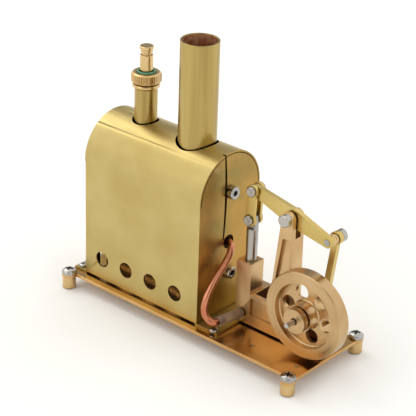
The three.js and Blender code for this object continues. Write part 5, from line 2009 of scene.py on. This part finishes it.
@dataclass
class Flywheel:
    """The bronze flywheel with six holes in its web, its stepped hub and its set screw."""

    thickness: float = 3.9
    rim: float = 3.25
    recess: float = 1.98
    web: float = 1.1
    hole: float = 2.1
    hole_pitch: float = 6.5
    hole_start: float = 109.0
    hub: float = 4.0
    hub_reach: float = 1.6
    collar: float = 3.55
    collar_reach: float = 3.77

    def build(self) -> None:
        """Turns the wheel, bores its web and fits the set screw."""
        room = Space.of("flywheel")
        radius = room.size.z / 2
        back = room.high.y
        front = back - self.thickness
        inner = radius - self.rim
        web_front, web_back = front + self.recess, front + self.recess + self.web
        soft = 0.35
        bore = 0.8
        profile = [
            (bore, back), (bore, front - self.collar_reach + 0.25),
            (bore + 0.25, front - self.collar_reach),
            (self.collar, front - self.collar_reach), (self.collar, front - self.hub_reach - 0.35),
            (self.collar - 0.35, front - self.hub_reach - 0.35),
            (self.collar - 0.35, front - self.hub_reach),
            (self.hub, front - self.hub_reach), (self.hub, web_front - soft),
            (self.hub + soft, web_front),
            (inner - soft, web_front), (inner, web_front - soft), (inner, front),
            (radius - 0.25, front), (radius, front + 0.25),
            (radius, back - 0.25), (radius - 0.25, back), (inner, back), (inner, web_back),
            (self.hub, web_back),
            (self.hub, back), (bore, back),
        ]
        at = Vector((room.middle.x, 0, room.middle.z))
        wheel = Bench.turned("flywheel_casting", profile, Axis.Y, at, 120)
        for number in range(6):
            angle = math.radians(self.hole_start + 60 * number)
            spot = (at.x + self.hole_pitch * math.cos(angle), at.z + self.hole_pitch * math.sin(angle))
            wheel = Bench.drill(wheel, self.hole, Axis.Y, spot, (front + 0.5, back - 0.2), 48)
        grub = Space.of("flywheel_grub_screw")
        wheel = Bench.drill(
            wheel, 0.65, Axis.Z, (grub.middle.x, grub.middle.y), (at.z - self.collar - 1, at.z), 32,
        )
        Bench.soften(wheel, 0.14, 3, 35, split=True)
        faced = Finish(
            "faced_bronze_wheel", "bronze", "#CCAC80", "#BC9A6E", Grain.FACED, 0.3,
            gloss_spread=0.1, line_mm=0.3, bump_mm=0.004, tarnish_and_painted_shade="#6E3F20", centre=tuple(room.middle),
        )
        Bench.seat(wheel, "crank", faced, "flywheel")
        screw = Bench.turned(
            "flywheel_grub_hex",
            [
                (0.0, grub.low.z), (0.32, grub.low.z), (0.32, grub.low.z + 0.01), (0.5, grub.low.z),
                (0.6, grub.low.z + 0.1), (0.6, grub.high.z), (0.0, grub.high.z),
            ],
            Axis.Z, Vector((grub.middle.x, grub.middle.y, 0)), 32,
        )
        socket = Bench.blank(
            "socket", arc((grub.middle.x, grub.middle.y), 0.36, 0, 300, 5), Axis.Z, grub.low.z - 1,
            grub.low.z + 0.6,
        )
        screw = Bench.mix(screw, socket, Mix.CUT)
        Bench.soften(screw, 0.03, 1, 40)
        Bench.seat(screw, "crank", STEEL, "flywheel_grub_screw")


@dataclass
class Boiler:
    """The copper drum inside the casing, which keeps its CAD nodes."""

    def build(self) -> None:
        """Gives the hidden nodes the copper finish."""
        for name in ("boiler_drum", "boiler_end_engine", "boiler_end_burner"):
            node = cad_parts[name]
            node.data.materials.clear()
            node.data.materials.append(COPPER.material())
            LOG.info("%s: dressed", name)


# ------------------------------------------------------------------ studio


@dataclass
class Studio:
    """Pale floor, soft lights and the camera."""

    azimuth: float = 40.544
    elevation: float = 26.433
    roll: float = 1.982
    focal_mm: float = 136.28
    distance: float = 445.5
    aim: tuple[float, float, float] = (-3.625, -1.56, 36.57)
    tent_colour: tuple[float, float, float] = (1.0, 0.99, 0.97)
    tent_strength: float = 1.12
    # Azimuth, elevation, outer and inner half angle, and level of each dim side of the tent.
    dim_sides: tuple[tuple[float, float, float, float, float], ...] = (
        (-139.0, 25.0, 24.0, 9.0, 0.3),
        (40.0, 42.0, 30.0, 12.0, 0.4),
    )
    # Name, azimuth, elevation, distance in metres, side in metres and power of each softbox.
    softboxes: tuple[tuple[str, float, float, float, float, float], ...] = (
        ("key", -92.0, 52.0, 1.2, 0.6, 1.9),
        ("front", -20.0, 35.0, 1.3, 0.5, 1.0),
    )

    def build(self) -> None:
        """Sets the stage."""
        self.build_camera()
        self.build_floor()
        self.build_world()
        self.build_lights()

    def build_camera(self) -> None:
        """Puts the camera on its mark."""
        azimuth, elevation, roll = (math.radians(a) for a in (self.azimuth, self.elevation, self.roll))
        back = Vector(
            (
                math.sin(azimuth) * math.cos(elevation), -math.cos(azimuth) * math.cos(elevation),
                math.sin(elevation),
            )
        )
        right = Vector((math.cos(azimuth), math.sin(azimuth), 0))
        up = back.cross(right)
        side = right * math.cos(roll) + up * math.sin(roll)
        head = up * math.cos(roll) - right * math.sin(roll)
        data = bpy.data.cameras.new("camera")
        data.sensor_width = 36
        data.lens = self.focal_mm
        data.clip_start, data.clip_end = 0.01, 10
        camera = bpy.data.objects.new("camera", data)
        bpy.context.scene.collection.objects.link(camera)
        rotation = Matrix((side, head, back)).transposed().to_4x4()
        place = (Vector(self.aim) + back * self.distance) * MM
        camera.matrix_world = Matrix.Translation(place) @ rotation
        bpy.context.scene.camera = camera

    def build_floor(self) -> None:
        """Lays a broad pale floor."""
        bpy.ops.object.select_all(action="DESELECT")
        bpy.ops.mesh.primitive_plane_add(size=6.0, location=(0, 0, 0))
        floor = bpy.context.active_object
        floor.name = "studio_floor"
        material = bpy.data.materials.new("studio_paper")
        material.use_nodes = True
        shader = material.node_tree.nodes["Principled BSDF"]
        shader.inputs["Base Color"].default_value = linear("#FAFAF8")
        shader.inputs["Roughness"].default_value = 0.9
        shader.inputs["Specular IOR Level"].default_value = 0.1
        floor.data.materials.append(material)

    def build_world(self) -> None:
        """Surrounds the scene with a pale tent that is dim across from the camera and behind it."""
        world = bpy.data.worlds.new("studio_tent")
        bpy.context.scene.world = world
        world.use_nodes = True
        tree = world.node_tree
        sight = add_node(tree, "ShaderNodeTexCoord").outputs["Generated"]
        colour = (*self.tent_colour, 1.0)
        for azimuth, elevation, outer, inner, level in self.dim_sides:
            towards = self.direction(azimuth, elevation)
            cosine = add_node(
                tree, "ShaderNodeVectorMath", {"operation": "DOT_PRODUCT"}, {0: sight, 1: towards}
            ).outputs["Value"]
            share = add_node(
                tree,
                "ShaderNodeMapRange",
                {"interpolation_type": "SMOOTHSTEP"},
                {
                    "Value": cosine, "From Min": math.cos(math.radians(outer)),
                    "From Max": math.cos(math.radians(inner)),
                },
            ).outputs["Result"]
            dim = tuple(level * c for c in self.tent_colour) + (1.0,)
            colour = add_node(
                tree, "ShaderNodeMix", {"data_type": "RGBA"}, {"Factor": share, 6: colour, 7: dim}
            ).outputs[2]
        background = tree.nodes["Background"]
        tree.links.new(colour, background.inputs["Color"])
        background.inputs["Strength"].default_value = self.tent_strength

    @staticmethod
    def direction(azimuth: float, elevation: float) -> Vector:
        """Direction from the object, as a unit vector.

        Args:
            azimuth: Degrees from the front towards the right.
            elevation: Degrees above the floor.

        Returns:
            The unit vector.
        """
        a, e = math.radians(azimuth), math.radians(elevation)
        return Vector((math.sin(a) * math.cos(e), -math.cos(a) * math.cos(e), math.sin(e)))

    def build_lights(self) -> None:
        """Hangs the softboxes, all aimed at the model."""
        for name, azimuth, elevation, distance, size, power in self.softboxes:
            data = bpy.data.lights.new(name, "AREA")
            data.shape = "SQUARE"
            data.size = size
            data.energy = power
            light = bpy.data.objects.new(name, data)
            bpy.context.scene.collection.objects.link(light)
            towards = self.direction(azimuth, elevation)
            light.location = towards * distance + Vector((0, 0, 0.03))
            light.rotation_euler = (-towards).to_track_quat("-Z", "Y").to_euler()


def main() -> None:
    """Builds the studio and every sub-assembly in order."""
    logging.basicConfig(level=logging.INFO, format="%(name)s %(message)s")
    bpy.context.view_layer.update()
    bpy.context.scene.view_settings.view_transform = "Standard"
    for part in (
        Studio(), BasePlate(), Casing(), Chimney(), Filler(), Burner(), SteamLine(), EngineBed(),
        Column(), Beam(), PistonLinks(), Piston(), ConnectingRod(), Crank(), Flywheel(), Boiler(),
    ):
        part.build()
        LOG.info("built %s", type(part).__name__)


if __name__ == "__main__":
    main()
